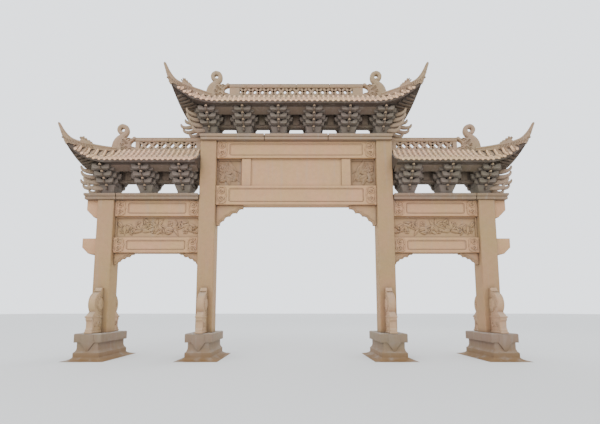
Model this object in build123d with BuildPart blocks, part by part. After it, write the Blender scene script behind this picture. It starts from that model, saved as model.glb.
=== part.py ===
from build123d import *

import os
from dataclasses import dataclass
from math import atan2, degrees, sin, pi

# Paifang: a stone memorial archway of four columns and three bays, with one high roof and
# two low ones. X runs along the row of columns, -Y is the front, Z is up, and the origin
# is on the ground under the middle of the centre bay. Millimetres.

# Driving dimensions: columns and plinths
column_size = 540
column_edge_chamfer = 20
centre_column_x = 2955
side_column_x = 6300
centre_column_top = 7200
side_column_top = 5150

plinth_height = 800
plinth_foot_width = 1300
plinth_foot_height = 100
plinth_lower_width = 780
plinth_lower_height = 130
plinth_neck_height = 120
plinth_waist_width = 640
plinth_extra_depth = 1010
plinth_cap_width = 820
plinth_cap_depth = 1700
plinth_cap_height = 265
cloth_width = 360
cloth_drop = 530
cloth_relief = 12
cloth_tip_width = 60

# Drum stones: a pedestal, a round drum on it and a scroll against the column
drum_stone_thickness = 200
drum_pedestal_reach = 570
drum_pedestal_height = 520
drum_pedestal_band = 110
drum_pedestal_waist_inset = 45
drum_diameter = 760
drum_sides = 32
drum_inset = 90
drum_scroll_reach = 180
drum_scroll_height = 140

# Beams and panels of the centre bay
centre_beam_depth = 400
centre_lower_beam_bottom = 5000
centre_lower_beam_height = 650
centre_upper_beam_height = 590
plaque_width = 3060
plaque_depth = 250
stile_width = 300
stile_depth = 320
square_panel_depth = 160

# Beams and panel of each side bay
side_beam_depth = 350
side_lower_beam_bottom = 3390
side_lower_beam_height = 500
side_upper_beam_height = 540
side_panel_depth = 160

# Fields sunk into the faces of the beams
field_end_margin = 430
field_edge_margin = 85
field_sink = 15
field_corner_cut = 45
panel_frame_width = 45
panel_sink = 50
plaque_sink = 12

# Top plates, a lower band and an upper band that stands out over it
plate_overhang = 25
centre_plate_depth = 750
centre_plate_lower = 70
centre_plate_upper = 130
centre_plate_end = 3240
side_plate_depth = 700
side_plate_lower = 96
side_plate_upper = 104
side_plate_end = 7010

# Beam ends that stand out beyond the side columns
upper_end_reach = 390
upper_end_chamfer = 245
lower_end_reach = 470
lower_end_chamfer = 210
beam_end_top_drop = 30
beam_end_extra_drop = 45

# Corner brackets under the lower beams
centre_bracket_length = 900
centre_bracket_drop = 670
centre_bracket_thickness = 180
side_bracket_length = 630
side_bracket_drop = 380
side_bracket_thickness = 150
bracket_lobes = ((1.0, 0.14), (0.76, 0.36), (0.5, 0.52), (0.27, 0.74), (0.12, 1.0))
bracket_lobe_bulge = 0.24

# Bracket sets between the top plates and the roofs
set_tiers = 4
set_base_width = 380
set_base_flare_width = 400
set_base_height = 130
set_bottom_half_width = 310
set_top_half_width = 500
set_front_half_width = 280
set_bottom_half_depth = 310
set_top_half_depth = 740
set_step_back = 150
set_side_cut = 100
set_front_cut = 75
set_ledge_rise = 12
set_nose_width = 110
set_nose_reach = 75
set_nose_tip_share = 0.7
claw_thickness = 80
claw_root = 150
claw_bottom_reach = 800
claw_top_reach = 1150
claw_end_reach_share = 0.95
claw_root_heights = (0.1, 0.6)
claw_outline = ((0.82, 0.15), (1.0, 0.85), (0.8, 0.55))
row_beam_thickness = 140
centre_row_beam_gap = 340
side_row_beam_gap = 436
centre_set_spacing = 1178
side_set_spacing = 1263
side_outer_set_x = 6289

# Roofs
centre_cap_end_x = 2325
side_cap_end_x = 5500
centre_eave_z = 8165
side_eave_z = 6186
centre_sweep_length = 1500
side_sweep_length = 1080
centre_roof_rise = 695
side_roof_rise = 714
eave_thickness = 110
eave_half_depth = 890
roof_sag = 95
roof_steps = (0.66, 0.33)
sweep_steps = (0, 0.35, 0.6, 0.8, 1)
end_steps = (0.75, 0.45, 0)
sweep_power = 2.6
tile_pitch = 178
tile_row_height = 45
tile_row_foot_width = 120
tile_row_sink = 20
tile_edge_margin = 40
tile_last_share = 0.2
ridge_half_thickness = 100
hip_start_offset = 575
corner_offset = 1060
end_eave_offset = 930
end_eave_lift = 5
corner_out = 300
corner_lift = 448
hip_ridge_thickness = 130
hip_ridge_height = 110
hip_ridge_top = ((0.3, 310), (0.62, 260), (0.85, 270), (0.98, 380), (1.07, 510), (1.15, 670))
hip_ridge_outer = ((1.2, 615), (1.14, 325), (1.07, 195), (1.0, 0))

# Ridges: a base course, a pierced course and a cap
ridge_base_height = 90
ridge_lattice_height = 250
ridge_cap_height = 140
ridge_body_thickness = 160
ridge_cap_thickness = 200
ridge_solid_end = 355
lattice_pitch = 264
lattice_bar = 46

# Ridge beasts: a head that bites the ridge and a curled tail
beast_thickness = 170
beast_head = ((0, 0), (0, 516), (120, 500), (290, 490), (575, 300), (575, 0))
beast_neck = (
    (290, 360),
    (330, 520),
    (300, 700),
    (560, 660),
    (590, 520),
    (700, 420),
    (760, 300),
    (770, 200),
    (575, 60),
)
beast_mouth = ((20, 190), (20, 370), (150, 290))
beast_tail_offset = 461
beast_tail_rise = 814
beast_tail_radius = 200
beast_tail_sides = 20
beast_tail_eye = 50
beast_eye_sides = 8

# Heights and places worked out from the sizes above
column_half = column_size / 2
centre_bay_half = centre_column_x - column_half
side_bay_inner_x = centre_column_x + column_half
side_bay_outer_x = side_column_x - column_half
side_column_outer_x = side_column_x + column_half
centre_upper_beam_bottom = centre_column_top - centre_upper_beam_height
side_upper_beam_bottom = side_column_top - side_upper_beam_height
centre_band_bottom = centre_lower_beam_bottom + centre_lower_beam_height
side_band_bottom = side_lower_beam_bottom + side_lower_beam_height
centre_plate_top = centre_column_top + centre_plate_lower + centre_plate_upper
side_plate_top = side_column_top + side_plate_lower + side_plate_upper
up = Vector(0, 0, 1)
flatness = 1e-4


@dataclass
class Roof:
    """One roof: where it starts, where its ridge cap ends, its eave's height and its rise."""

    inner_x: float
    cap_end_x: float
    eave_z: float
    rise: float
    sweep_length: float

    @property
    def ridge_z(self):
        return self.eave_z + self.rise

    @property
    def hip_x(self):
        return self.cap_end_x + hip_start_offset

    @property
    def corner_x(self):
        return self.hip_x + corner_offset

    @property
    def sweep_x(self):
        return self.corner_x - self.sweep_length


centre_roof = Roof(0, centre_cap_end_x, centre_eave_z, centre_roof_rise, centre_sweep_length)
side_roof = Roof(side_bay_inner_x, side_cap_end_x, side_eave_z, side_roof_rise, side_sweep_length)


def write(piece, name):
    """Label a finished piece and write its STEP file."""
    piece.part.label = name
    export_step(piece.part, f"parts/{name}.step")


def write_pair(piece, name):
    """Write a piece of the right-hand side and its mirror image on the left."""
    write(piece, f"right_{name}")
    with BuildPart() as mirrored:
        mirror(piece.part, about=Plane.YZ)
    write(mirrored, f"left_{name}")


def box_between(x_range, y_half, z_range, mode=Mode.ADD):
    """Add a block given by its ends along X, its half depth and its bottom and top."""
    x_size = x_range[1] - x_range[0]
    z_size = z_range[1] - z_range[0]
    with Locations((sum(x_range) / 2, 0, sum(z_range) / 2)):
        Box(x_size, 2 * y_half, z_size, mode=mode)


def plinth(column_x):
    """A stepped plinth with a cloth ornament hanging over its front and back."""
    foot_flare = (plinth_foot_width - plinth_lower_width) / 2
    neck_flare = (plinth_lower_width - plinth_waist_width) / 2
    foot = plinth_foot_height
    neck = plinth_neck_height
    cap_bottom = plinth_height - plinth_cap_height
    waist_height = cap_bottom - foot - plinth_lower_height - neck
    courses = (
        (0.3 * foot, 0.55 * foot_flare),
        (0.3 * foot, 0.28 * foot_flare),
        (0.4 * foot, 0.17 * foot_flare),
        (plinth_lower_height, 0),
        (0.4 * neck, 0.65 * neck_flare),
        (0.6 * neck, 0.35 * neck_flare),
        (waist_height, 0),
    )
    bottom, width = 0, plinth_foot_width
    with BuildPart() as body:
        for height, inset in courses:
            with BuildSketch(Plane.XY.offset(bottom)):
                with Locations((column_x, 0)):
                    Rectangle(width, width + plinth_extra_depth)
            extrude(amount=height, taper=degrees(atan2(inset, height)))
            bottom += height
            width -= 2 * inset
        with BuildSketch(Plane.XY.offset(cap_bottom)):
            with Locations((column_x, 0)):
                Rectangle(plinth_cap_width, plinth_cap_depth)
        extrude(amount=plinth_cap_height)
        chamfer(body.edges().group_by(Axis.Z)[-1], column_edge_chamfer)
        half = cloth_width / 2
        tip = cloth_tip_width / 2
        cloth_top = plinth_height - column_edge_chamfer
        with BuildSketch(Plane.XZ):
            with BuildLine():
                Polyline(
                    (column_x - half, cloth_top),
                    (column_x - half, cap_bottom),
                    (column_x - tip, plinth_height - cloth_drop),
                    (column_x + tip, plinth_height - cloth_drop),
                    (column_x + half, cap_bottom),
                    (column_x + half, cloth_top),
                    close=True,
                )
            make_face()
        extrude(amount=plinth_cap_depth / 2 + cloth_relief, both=True)
    return body


def column(column_x, top):
    """A square column with eased corners."""
    with BuildPart() as body:
        with BuildSketch(Plane.XY.offset(plinth_height)) as outline:
            with Locations((column_x, 0)):
                Rectangle(column_size, column_size)
            chamfer(outline.vertices(), column_edge_chamfer)
        extrude(amount=top - plinth_height)
    return body


def drum_stones(column_x):
    """The two drum stones of a column, one in front of it and one behind."""
    back = -column_half
    reach = back - drum_pedestal_reach
    pedestal_top = plinth_height + drum_pedestal_height
    radius = drum_diameter / 2
    drum_y = reach + drum_inset + radius
    drum_z = pedestal_top + radius
    drum_top = drum_z + radius
    half = drum_stone_thickness / 2
    waist_reach = reach + drum_pedestal_waist_inset
    with BuildPart() as body:
        with BuildSketch(Plane.YZ.offset(column_x)):
            with BuildLine():
                Polyline(
                    (back, plinth_height),
                    (reach, plinth_height),
                    (reach, plinth_height + drum_pedestal_band),
                    (waist_reach, plinth_height + 1.5 * drum_pedestal_band),
                    (waist_reach, pedestal_top - 1.5 * drum_pedestal_band),
                    (reach, pedestal_top - drum_pedestal_band),
                    (reach, pedestal_top),
                    (drum_y, pedestal_top + radius),
                    (back - drum_scroll_reach, drum_top - drum_scroll_height / 2),
                    (back - drum_scroll_reach, drum_top),
                    (back - drum_scroll_reach / 2, drum_top + drum_scroll_height),
                    (back, drum_top + drum_scroll_height),
                    close=True,
                )
            make_face()
            with Locations((drum_y, drum_z)):
                RegularPolygon(radius, drum_sides)
        extrude(amount=half, both=True)
        mirror(about=Plane.XZ)
        column_faces = (column_x - column_half, column_x + column_half)
        column_heights = (plinth_height, drum_top + drum_scroll_height)
        box_between(column_faces, column_half, column_heights, mode=Mode.SUBTRACT)
    return body


def beam(x_range, z_range, depth):
    """A beam with a long field sunk into its front and back faces."""
    with BuildPart() as body:
        box_between(x_range, depth / 2, z_range)
        field_length = x_range[1] - x_range[0] - 2 * field_end_margin
        field_height = z_range[1] - z_range[0] - 2 * field_edge_margin
        middle = (sum(x_range) / 2, sum(z_range) / 2)
        for face in (depth / 2, -depth / 2):
            with BuildSketch(Plane.XZ.offset(face)):
                with Locations(middle):
                    field = Rectangle(field_length, field_height)
                chamfer(field.vertices(), field_corner_cut)
            extrude(amount=field_sink if face < 0 else -field_sink, mode=Mode.SUBTRACT)
    return body


def framed_panel(x_range, z_range, depth, sink):
    """A panel with a raised frame around a sunk field, the same on both faces."""
    with BuildPart() as body:
        box_between(x_range, depth / 2, z_range)
        length = x_range[1] - x_range[0] - 2 * panel_frame_width
        height = z_range[1] - z_range[0] - 2 * panel_frame_width
        middle = (sum(x_range) / 2, sum(z_range) / 2)
        for face in (depth / 2, -depth / 2):
            with BuildSketch(Plane.XZ.offset(face)):
                with Locations(middle):
                    Rectangle(length, height)
            extrude(amount=sink if face < 0 else -sink, mode=Mode.SUBTRACT)
    return body


def block(x_range, z_range, depth):
    """A plain slab of stone between two neighbours."""
    with BuildPart() as body:
        box_between(x_range, depth / 2, z_range)
    return body


def plate(x_range, bottom, lower, upper, depth, overhangs):
    """A top plate: a lower band, and an upper band that stands out over it."""
    lower_range = (x_range[0] + overhangs[0], x_range[1] - overhangs[1])
    with BuildPart() as body:
        box_between(lower_range, depth / 2 - plate_overhang, (bottom, bottom + lower))
        box_between(x_range, depth / 2, (bottom + lower, bottom + lower + upper))
    return body


def beam_end(reach, chamfer_size, drop, z_range):
    """Outline of a beam end outside the side column, cut back at its lower corner."""
    face = side_column_outer_x
    top = z_range[1] - drop
    bottom = z_range[0] - beam_end_extra_drop
    with BuildSketch() as outline:
        with BuildLine():
            Polyline(
                (face, bottom),
                (face + reach - chamfer_size, bottom),
                (face + reach, bottom + chamfer_size),
                (face + reach, top),
                (face, top),
                close=True,
            )
        make_face()
    return outline.sketch


def corner_bracket(corner_x, direction, top, length, drop):
    """Outline of a carved bracket in the corner of a column and a beam."""
    points = [
        Vector(corner_x + direction * along * length, top - down * drop)
        for along, down in bracket_lobes
    ]
    outline = [Vector(corner_x, top), Vector(corner_x + direction * length, top), points[0]]
    for start, end in zip(points, points[1:]):
        chord = end - start
        outward = Vector(-chord.Y, chord.X) * -direction * bracket_lobe_bulge
        for share in (0.2, 0.5, 0.8):
            outline.append(start + chord * share + outward * sin(pi * share))
        outline.append(end)
    outline.append(Vector(corner_x, points[-1].Y))
    with BuildSketch() as bracket:
        with BuildLine():
            Polyline(*outline, close=True)
        make_face()
    return bracket.sketch


def tier_sizes(foot_z, top_z):
    """Foot, top, half width and half depth of each tier of arms."""
    height = (top_z - foot_z - set_base_height) / set_tiers
    tiers = []
    for tier in range(set_tiers):
        share = tier / (set_tiers - 1)
        half_width = set_bottom_half_width + share * (set_top_half_width - set_bottom_half_width)
        half_depth = set_bottom_half_depth + share * (set_top_half_depth - set_bottom_half_depth)
        bottom = foot_z + set_base_height + tier * height
        foot = bottom + (set_ledge_rise if tier else 0)
        tiers.append((foot, bottom + height, half_width, half_depth))
    return tiers


def side_faces(corners):
    """One flat face through four corners that lie in a plane, or else two triangles."""
    first, second, third, fourth = corners
    normal = (second - first).cross(third - first).normalized()
    if abs(normal.dot(fourth - first)) < flatness:
        return [Face(Wire.make_polygon(corners))]
    return [
        Face(Wire.make_polygon([first, second, third])),
        Face(Wire.make_polygon([first, third, fourth])),
    ]


def faceted(sections):
    """A solid of flat faces between neighbouring sections with as many corners each."""
    faces = [Face(Wire.make_polygon(sections[0])), Face(Wire.make_polygon(sections[-1]))]
    for near, far in zip(sections, sections[1:]):
        for index, corner in enumerate(near):
            following = (index + 1) % len(near)
            faces += side_faces([corner, near[following], far[following], far[index]])
    return Solid(Shell(faces))


def arms_section(half_width, front_half_width, half_depth, z):
    """Plan of the arms at one height: a wide block with a narrower one through it."""
    wide_depth = half_depth - set_step_back
    quarter = [(half_width, wide_depth), (front_half_width, wide_depth), (front_half_width, half_depth)]
    half = [*quarter, *[(-x, y) for x, y in reversed(quarter)]]
    return [Vector(x, y, z) for x, y in (*half, *[(-x, -y) for x, y in half])]


def arms(tiers):
    """The tiers of arms, each flaring out over the one below it."""
    sections = []
    for foot, top, half_width, half_depth in tiers:
        narrow = (half_width - set_side_cut, set_front_half_width - set_front_cut)
        sections.append(arms_section(*narrow, half_depth, foot))
        sections.append(arms_section(half_width, set_front_half_width, half_depth, top))
    return faceted(sections)


def nose_outline(tiers):
    """Outline of the beaked noses, one above the other, seen from the side."""
    points = []
    for foot, top, _, half_depth in tiers:
        tip_z = foot + (top - foot) * set_nose_tip_share
        points += [(half_depth, foot), (half_depth + set_nose_reach, tip_z), (half_depth, top)]
    mirrored = [(-along, z) for along, z in reversed(points)]
    with BuildSketch() as outline:
        with BuildLine():
            Polyline(*points, *mirrored, close=True)
        make_face()
    return outline.sketch


def claw(foot, top, reach):
    """Outline of an upturned claw of a corner set, out from the middle of the set."""
    height = top - foot
    root_low, root_high = [foot + share * height for share in claw_root_heights]
    with BuildSketch() as outline:
        with BuildLine():
            Polyline(
                (claw_root, root_low),
                *[(reach * along, foot + share * height) for along, share in claw_outline],
                (claw_root, root_high),
                close=True,
            )
        make_face()
    return outline.sketch


def bracket_set(foot_z, top_z, claws):
    """One bracket set at X = 0: a flared base block, tiers of arms, noses and claws."""
    tiers = tier_sizes(foot_z, top_z)
    flare = (set_base_flare_width - set_base_width) / 2
    with BuildPart() as body:
        with BuildSketch(Plane.XY.offset(foot_z)):
            Rectangle(set_base_width, set_base_width)
        extrude(amount=set_base_height, taper=-degrees(atan2(flare, set_base_height)))
        add(arms(tiers))
        with BuildSketch(Plane.YZ):
            add(nose_outline(tiers))
        extrude(amount=set_nose_width / 2, both=True)
        if claws:
            for turn in (-45, 0, 45):
                direction = Vector(1, 0).rotate(Axis.Z, turn)
                for tier, (foot, top, _, _) in enumerate(tiers):
                    share = tier / (set_tiers - 1)
                    reach = claw_bottom_reach + share * (claw_top_reach - claw_bottom_reach)
                    if turn == 0:
                        reach *= claw_end_reach_share
                    with BuildSketch(Plane((0, 0, 0), x_dir=direction, z_dir=direction.cross(up))):
                        add(claw(foot, top, reach))
                    extrude(amount=claw_thickness / 2, both=True)
    return body


def bracket_row(set_xs, beam_start, beam_gap, foot_z, top_z):
    """Bracket sets joined by the beam behind them; the last set stands at the corner."""
    plain_set = bracket_set(foot_z, top_z, False)
    corner_set = bracket_set(foot_z, top_z, True)
    with BuildPart() as row:
        box_between((beam_start, set_xs[-1]), row_beam_thickness / 2, (foot_z + beam_gap, top_z))
        for x in set_xs:
            with Locations((x, 0, 0)):
                add(corner_set.part if x == set_xs[-1] else plain_set.part)
        if beam_start == 0:
            mirror(about=Plane.YZ)
    return row


def swept_station(roof, share):
    """Ridge point, eave point and lift at a share of the sweep towards the corner."""
    swept = share**sweep_power
    inner_x = roof.sweep_x + share * (roof.hip_x - roof.sweep_x)
    outer_x = roof.sweep_x + share * roof.sweep_length
    inner = Vector(inner_x, -ridge_half_thickness)
    return inner, Vector(outer_x, -eave_half_depth - corner_out * swept), corner_lift * swept


def straight_station(x):
    """Ridge point, eave point and lift where the eave is straight."""
    return Vector(x, -ridge_half_thickness), Vector(x, -eave_half_depth), 0


def slope_stations(roof):
    """Plan points at the ridge and at the eave, and the eave's lift, round the corner."""
    stations = [straight_station(roof.inner_x)]
    stations += [swept_station(roof, share) for share in sweep_steps]
    end_x = roof.hip_x + end_eave_offset
    corner_y = eave_half_depth + corner_out
    for share in end_steps:
        outer_x = end_x + (roof.corner_x - end_x) * share**sweep_power
        lift = end_eave_lift + (corner_lift - end_eave_lift) * share**sweep_power
        inner = Vector(roof.hip_x, -ridge_half_thickness * share)
        stations.append((inner, Vector(outer_x, -corner_y * share), lift))
    return stations


def slope_point(roof, station, share):
    """The top of the slope at a share of the way from the ridge to the eave."""
    inner, outer, lift = station
    eave_top = roof.eave_z + lift + eave_thickness
    straight = roof.ridge_z + (eave_top - roof.ridge_z) * share
    sagged = straight - roof_sag * 4 * share * (1 - share)
    return inner + (outer - inner) * share + up * sagged


def slope_section(roof, station):
    """Corners of the roof's section from the ridge to the eave at one station."""
    inner, outer, lift = station
    underside = [inner + up * roof.eave_z, outer + up * (roof.eave_z + lift)]
    return underside + [slope_point(roof, station, share) for share in (1, *roof_steps, 0)]


def tile_row(roof, station):
    """A row of cover tiles that stands up from the slope, from the ridge to the eave."""
    foot = Vector(tile_row_foot_width / 2, 0, -tile_row_sink)
    other_foot = Vector(-foot.X, 0, foot.Z)
    sections = []
    for share in (1, *roof_steps, 0):
        middle = slope_point(roof, station, share)
        sections.append([middle + other_foot, middle + foot, middle + up * tile_row_height])
    return faceted(sections)


def tile_rows(roof):
    """The rows of cover tiles on the front slope, up to the hip ridge."""
    length = roof.corner_x - tile_edge_margin - roof.inner_x
    pitch = length / round(length / tile_pitch)
    last_x = roof.sweep_x + tile_last_share * roof.sweep_length
    rows = []
    for number in range(int((last_x - roof.inner_x) / pitch)):
        x = roof.inner_x + (number + 0.5) * pitch
        swept = (x - roof.sweep_x) / roof.sweep_length
        station = swept_station(roof, swept) if swept > 0 else straight_station(x)
        rows.append(tile_row(roof, station))
    return rows


def roof_body(roof, mirrored_half):
    """The curved roof, built round one corner in flat facets and mirrored."""
    quarter = faceted([slope_section(roof, station) for station in slope_stations(roof)])
    with BuildPart() as body:
        add(quarter)
        add(tile_rows(roof))
        mirror(about=Plane.XZ)
        box_between((roof.inner_x, roof.hip_x), ridge_half_thickness, (roof.eave_z, roof.ridge_z))
        if mirrored_half:
            mirror(about=Plane.YZ)
    return body


def hip_ridges(roof, body):
    """The two hip ridges at one end of a roof, each with an upturned tip."""
    inner = Vector(roof.hip_x, -ridge_half_thickness)
    corner = Vector(roof.corner_x, -eave_half_depth - corner_out)
    direction = (corner - inner).normalized()
    run = (corner - inner).length
    corner_z = roof.eave_z + corner_lift
    with BuildPart() as ridges:
        with BuildSketch(Plane(inner, x_dir=direction, z_dir=direction.cross(up))):
            with BuildLine():
                Polyline(
                    (0, roof.eave_z + roof.rise / 2),
                    (0, roof.ridge_z + hip_ridge_height),
                    *[(share * run, corner_z + rise) for share, rise in hip_ridge_top],
                    *[(share * run, corner_z + rise) for share, rise in hip_ridge_outer],
                    close=True,
                )
            make_face()
        extrude(amount=hip_ridge_thickness / 2, both=True)
        mirror(about=Plane.XZ)
        add(body.part, mode=Mode.SUBTRACT)
        beast_heights = (roof.eave_z, roof.ridge_z + beast_tail_rise)
        box_between(
            (roof.cap_end_x, roof.corner_x), beast_thickness / 2, beast_heights, Mode.SUBTRACT
        )
    return ridges


def ridge(roof, x_range, solid_ends):
    """A ridge: a base course, a course pierced by crossing bars, and a cap."""
    lattice_bottom = roof.ridge_z + ridge_base_height
    lattice_top = lattice_bottom + ridge_lattice_height
    pierced = (x_range[0] + solid_ends[0], x_range[1] - solid_ends[1])
    cells = round((pierced[1] - pierced[0]) / lattice_pitch)
    pitch = (pierced[1] - pierced[0]) / cells
    middle_z = (lattice_bottom + lattice_top) / 2
    half_height = ridge_lattice_height / 2
    with BuildPart() as body:
        box_between(x_range, ridge_half_thickness, (roof.ridge_z, lattice_bottom))
        box_between(x_range, ridge_body_thickness / 2, (lattice_bottom, lattice_top))
        box_between(x_range, ridge_cap_thickness / 2, (lattice_top, lattice_top + ridge_cap_height))
        with BuildSketch(Plane.XZ):
            for cell in range(cells):
                centre_x = pierced[0] + (cell + 0.5) * pitch
                for side in (1, -1):
                    edge = middle_z + side * half_height
                    with BuildLine():
                        Polyline(
                            (centre_x - pitch / 2 + lattice_bar, edge),
                            (centre_x + pitch / 2 - lattice_bar, edge),
                            (centre_x, middle_z + side * lattice_bar),
                            close=True,
                        )
                    make_face()
            for cell in range(1, cells):
                edge_x = pierced[0] + cell * pitch
                with BuildLine():
                    Polyline(
                        (edge_x - pitch / 2 + lattice_bar, middle_z),
                        (edge_x, middle_z + half_height - lattice_bar),
                        (edge_x + pitch / 2 - lattice_bar, middle_z),
                        (edge_x, middle_z - half_height + lattice_bar),
                        close=True,
                    )
                make_face()
        extrude(amount=ridge_half_thickness, both=True, mode=Mode.SUBTRACT)
    return body


def ridge_beast(roof):
    """A ridge beast at the outer end of a ridge: head, curved neck and curled tail."""
    start = roof.cap_end_x
    foot = roof.ridge_z
    tail = (start + beast_tail_offset, foot + beast_tail_rise)
    with BuildPart() as body:
        with BuildSketch(Plane.XZ):
            with BuildLine():
                Polyline(*[(start + out, foot + rise) for out, rise in beast_head], close=True)
            make_face()
            with BuildLine():
                Polyline(*[(start + out, foot + rise) for out, rise in beast_neck], close=True)
            make_face()
            with BuildLine():
                Polyline(*[(start + out, foot + rise) for out, rise in beast_mouth], close=True)
            make_face(mode=Mode.SUBTRACT)
            with Locations(tail):
                RegularPolygon(beast_tail_radius, beast_tail_sides)
                RegularPolygon(beast_tail_eye, beast_eye_sides, mode=Mode.SUBTRACT)
        extrude(amount=beast_thickness / 2, both=True)
    return body


os.makedirs("parts", exist_ok=True)

# Plinths, columns and drum stones
for place, column_x, column_top in (
    ("inner", centre_column_x, centre_column_top),
    ("outer", side_column_x, side_column_top),
):
    write_pair(plinth(column_x), f"{place}_plinth")
    write_pair(column(column_x, column_top), f"{place}_column")
    write_pair(drum_stones(column_x), f"{place}_drum_stones")

# Centre bay, from the lower beam up to the top plate
centre_span = (-centre_bay_half, centre_bay_half)
centre_lower_range = (centre_lower_beam_bottom, centre_band_bottom)
centre_band_range = (centre_band_bottom, centre_upper_beam_bottom)
centre_upper_range = (centre_upper_beam_bottom, centre_column_top)
write(beam(centre_span, centre_lower_range, centre_beam_depth), "centre_lower_beam")
write(beam(centre_span, centre_upper_range, centre_beam_depth), "centre_upper_beam")
plaque_half = plaque_width / 2
stile_outer_x = plaque_half + stile_width
write(
    framed_panel((-plaque_half, plaque_half), centre_band_range, plaque_depth, plaque_sink),
    "name_plaque",
)
write_pair(block((plaque_half, stile_outer_x), centre_band_range, stile_depth), "plaque_stile")
write_pair(
    framed_panel(
        (stile_outer_x, centre_bay_half), centre_band_range, square_panel_depth, panel_sink
    ),
    "square_panel",
)
write(
    plate(
        (-centre_plate_end, centre_plate_end),
        centre_column_top,
        centre_plate_lower,
        centre_plate_upper,
        centre_plate_depth,
        (plate_overhang, plate_overhang),
    ),
    "centre_top_plate",
)

# Side bays
side_span = (side_bay_inner_x, side_bay_outer_x)
side_lower_range = (side_lower_beam_bottom, side_band_bottom)
side_band_range = (side_band_bottom, side_upper_beam_bottom)
side_upper_range = (side_upper_beam_bottom, side_column_top)
write_pair(beam(side_span, side_lower_range, side_beam_depth), "side_lower_beam")
write_pair(beam(side_span, side_upper_range, side_beam_depth), "side_upper_beam")
write_pair(framed_panel(side_span, side_band_range, side_panel_depth, panel_sink), "side_panel")
write_pair(
    plate(
        (side_bay_inner_x, side_plate_end),
        side_column_top,
        side_plate_lower,
        side_plate_upper,
        side_plate_depth,
        (0, plate_overhang),
    ),
    "side_top_plate",
)

# Beam ends beyond the side columns
with BuildPart() as beam_ends:
    with BuildSketch(Plane.XZ):
        add(beam_end(upper_end_reach, upper_end_chamfer, 0, side_upper_range))
        add(beam_end(lower_end_reach, lower_end_chamfer, beam_end_top_drop, side_lower_range))
    extrude(amount=side_beam_depth / 2, both=True)
write_pair(beam_ends, "beam_ends")

# Corner brackets under the lower beams
with BuildPart() as centre_bracket:
    with BuildSketch(Plane.XZ):
        add(
            corner_bracket(
                centre_bay_half,
                -1,
                centre_lower_beam_bottom,
                centre_bracket_length,
                centre_bracket_drop,
            )
        )
    extrude(amount=centre_bracket_thickness / 2, both=True)
write_pair(centre_bracket, "centre_corner_bracket")

with BuildPart() as side_brackets:
    with BuildSketch(Plane.XZ):
        for face_x, direction in ((side_bay_inner_x, 1), (side_bay_outer_x, -1)):
            add(
                corner_bracket(
                    face_x,
                    direction,
                    side_lower_beam_bottom,
                    side_bracket_length,
                    side_bracket_drop,
                )
            )
    extrude(amount=side_bracket_thickness / 2, both=True)
write_pair(side_brackets, "side_corner_brackets")

# Rows of bracket sets
centre_set_xs = [(number + 0.5) * centre_set_spacing for number in range(3)]
write(
    bracket_row(centre_set_xs, 0, centre_row_beam_gap, centre_plate_top, centre_eave_z),
    "centre_bracket_sets",
)
side_set_xs = [side_outer_set_x - number * side_set_spacing for number in (2, 1, 0)]
write_pair(
    bracket_row(side_set_xs, side_set_xs[0], side_row_beam_gap, side_plate_top, side_eave_z),
    "side_bracket_sets",
)

# Roofs, ridges and beasts
centre_roof_body = roof_body(centre_roof, True)
side_roof_body = roof_body(side_roof, False)
write(centre_roof_body, "centre_roof")
write_pair(side_roof_body, "side_roof")
write_pair(hip_ridges(centre_roof, centre_roof_body), "centre_hip_ridges")
write_pair(hip_ridges(side_roof, side_roof_body), "side_hip_ridges")
write(
    ridge(
        centre_roof,
        (-centre_cap_end_x, centre_cap_end_x),
        (ridge_solid_end, ridge_solid_end),
    ),
    "centre_ridge",
)
write_pair(
    ridge(side_roof, (centre_plate_end, side_cap_end_x), (ridge_solid_end / 2, ridge_solid_end / 4)),
    "side_ridge",
)
write_pair(ridge_beast(centre_roof), "centre_ridge_beast")
write_pair(ridge_beast(side_roof), "side_ridge_beast")
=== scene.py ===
import math
import random

import bmesh
import bpy
from mathutils import Matrix, Vector


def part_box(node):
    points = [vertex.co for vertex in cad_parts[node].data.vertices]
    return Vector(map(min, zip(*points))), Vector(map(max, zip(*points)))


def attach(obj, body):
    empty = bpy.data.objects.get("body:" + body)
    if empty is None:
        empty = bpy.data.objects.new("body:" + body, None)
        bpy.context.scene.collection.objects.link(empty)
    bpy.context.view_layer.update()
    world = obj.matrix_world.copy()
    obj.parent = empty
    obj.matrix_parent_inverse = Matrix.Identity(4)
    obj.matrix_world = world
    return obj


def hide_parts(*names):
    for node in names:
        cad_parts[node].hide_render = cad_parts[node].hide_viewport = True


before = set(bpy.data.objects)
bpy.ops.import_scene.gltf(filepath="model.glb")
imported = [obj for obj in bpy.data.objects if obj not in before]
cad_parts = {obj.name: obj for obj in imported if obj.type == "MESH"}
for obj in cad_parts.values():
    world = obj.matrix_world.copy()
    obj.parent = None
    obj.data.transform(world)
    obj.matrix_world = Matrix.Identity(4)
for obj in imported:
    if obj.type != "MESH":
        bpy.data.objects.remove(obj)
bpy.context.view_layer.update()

# Looks of a stone memorial archway, in metres: X along the row of columns, -Y the front.
# Each carved piece is made once for the right-hand side and mirrored to the left.
DRAW = random.Random(7)
UP = Vector((0, 0, 1))
BACK = Vector((0, 1, 0))
MIRROR_X = Matrix.Scale(-1, 4, (1, 0, 0))
MIRROR_Y = Matrix.Scale(-1, 4, (0, 1, 0))

# Sizes that the CAD model shares with this script
EAVE_THICKNESS = 0.11
EAVE_HALF_DEPTH = 0.89
RIDGE_HALF = 0.1
HIP_RUN_X = 1.06
SWEEP_POWER = 2.6
ROOF_SAG = 0.095
END_EAVE_OFFSET = 0.93
END_EAVE_LIFT = 0.005
CORNER_OUT = 0.3
CORNER_LIFT = 0.448

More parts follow.
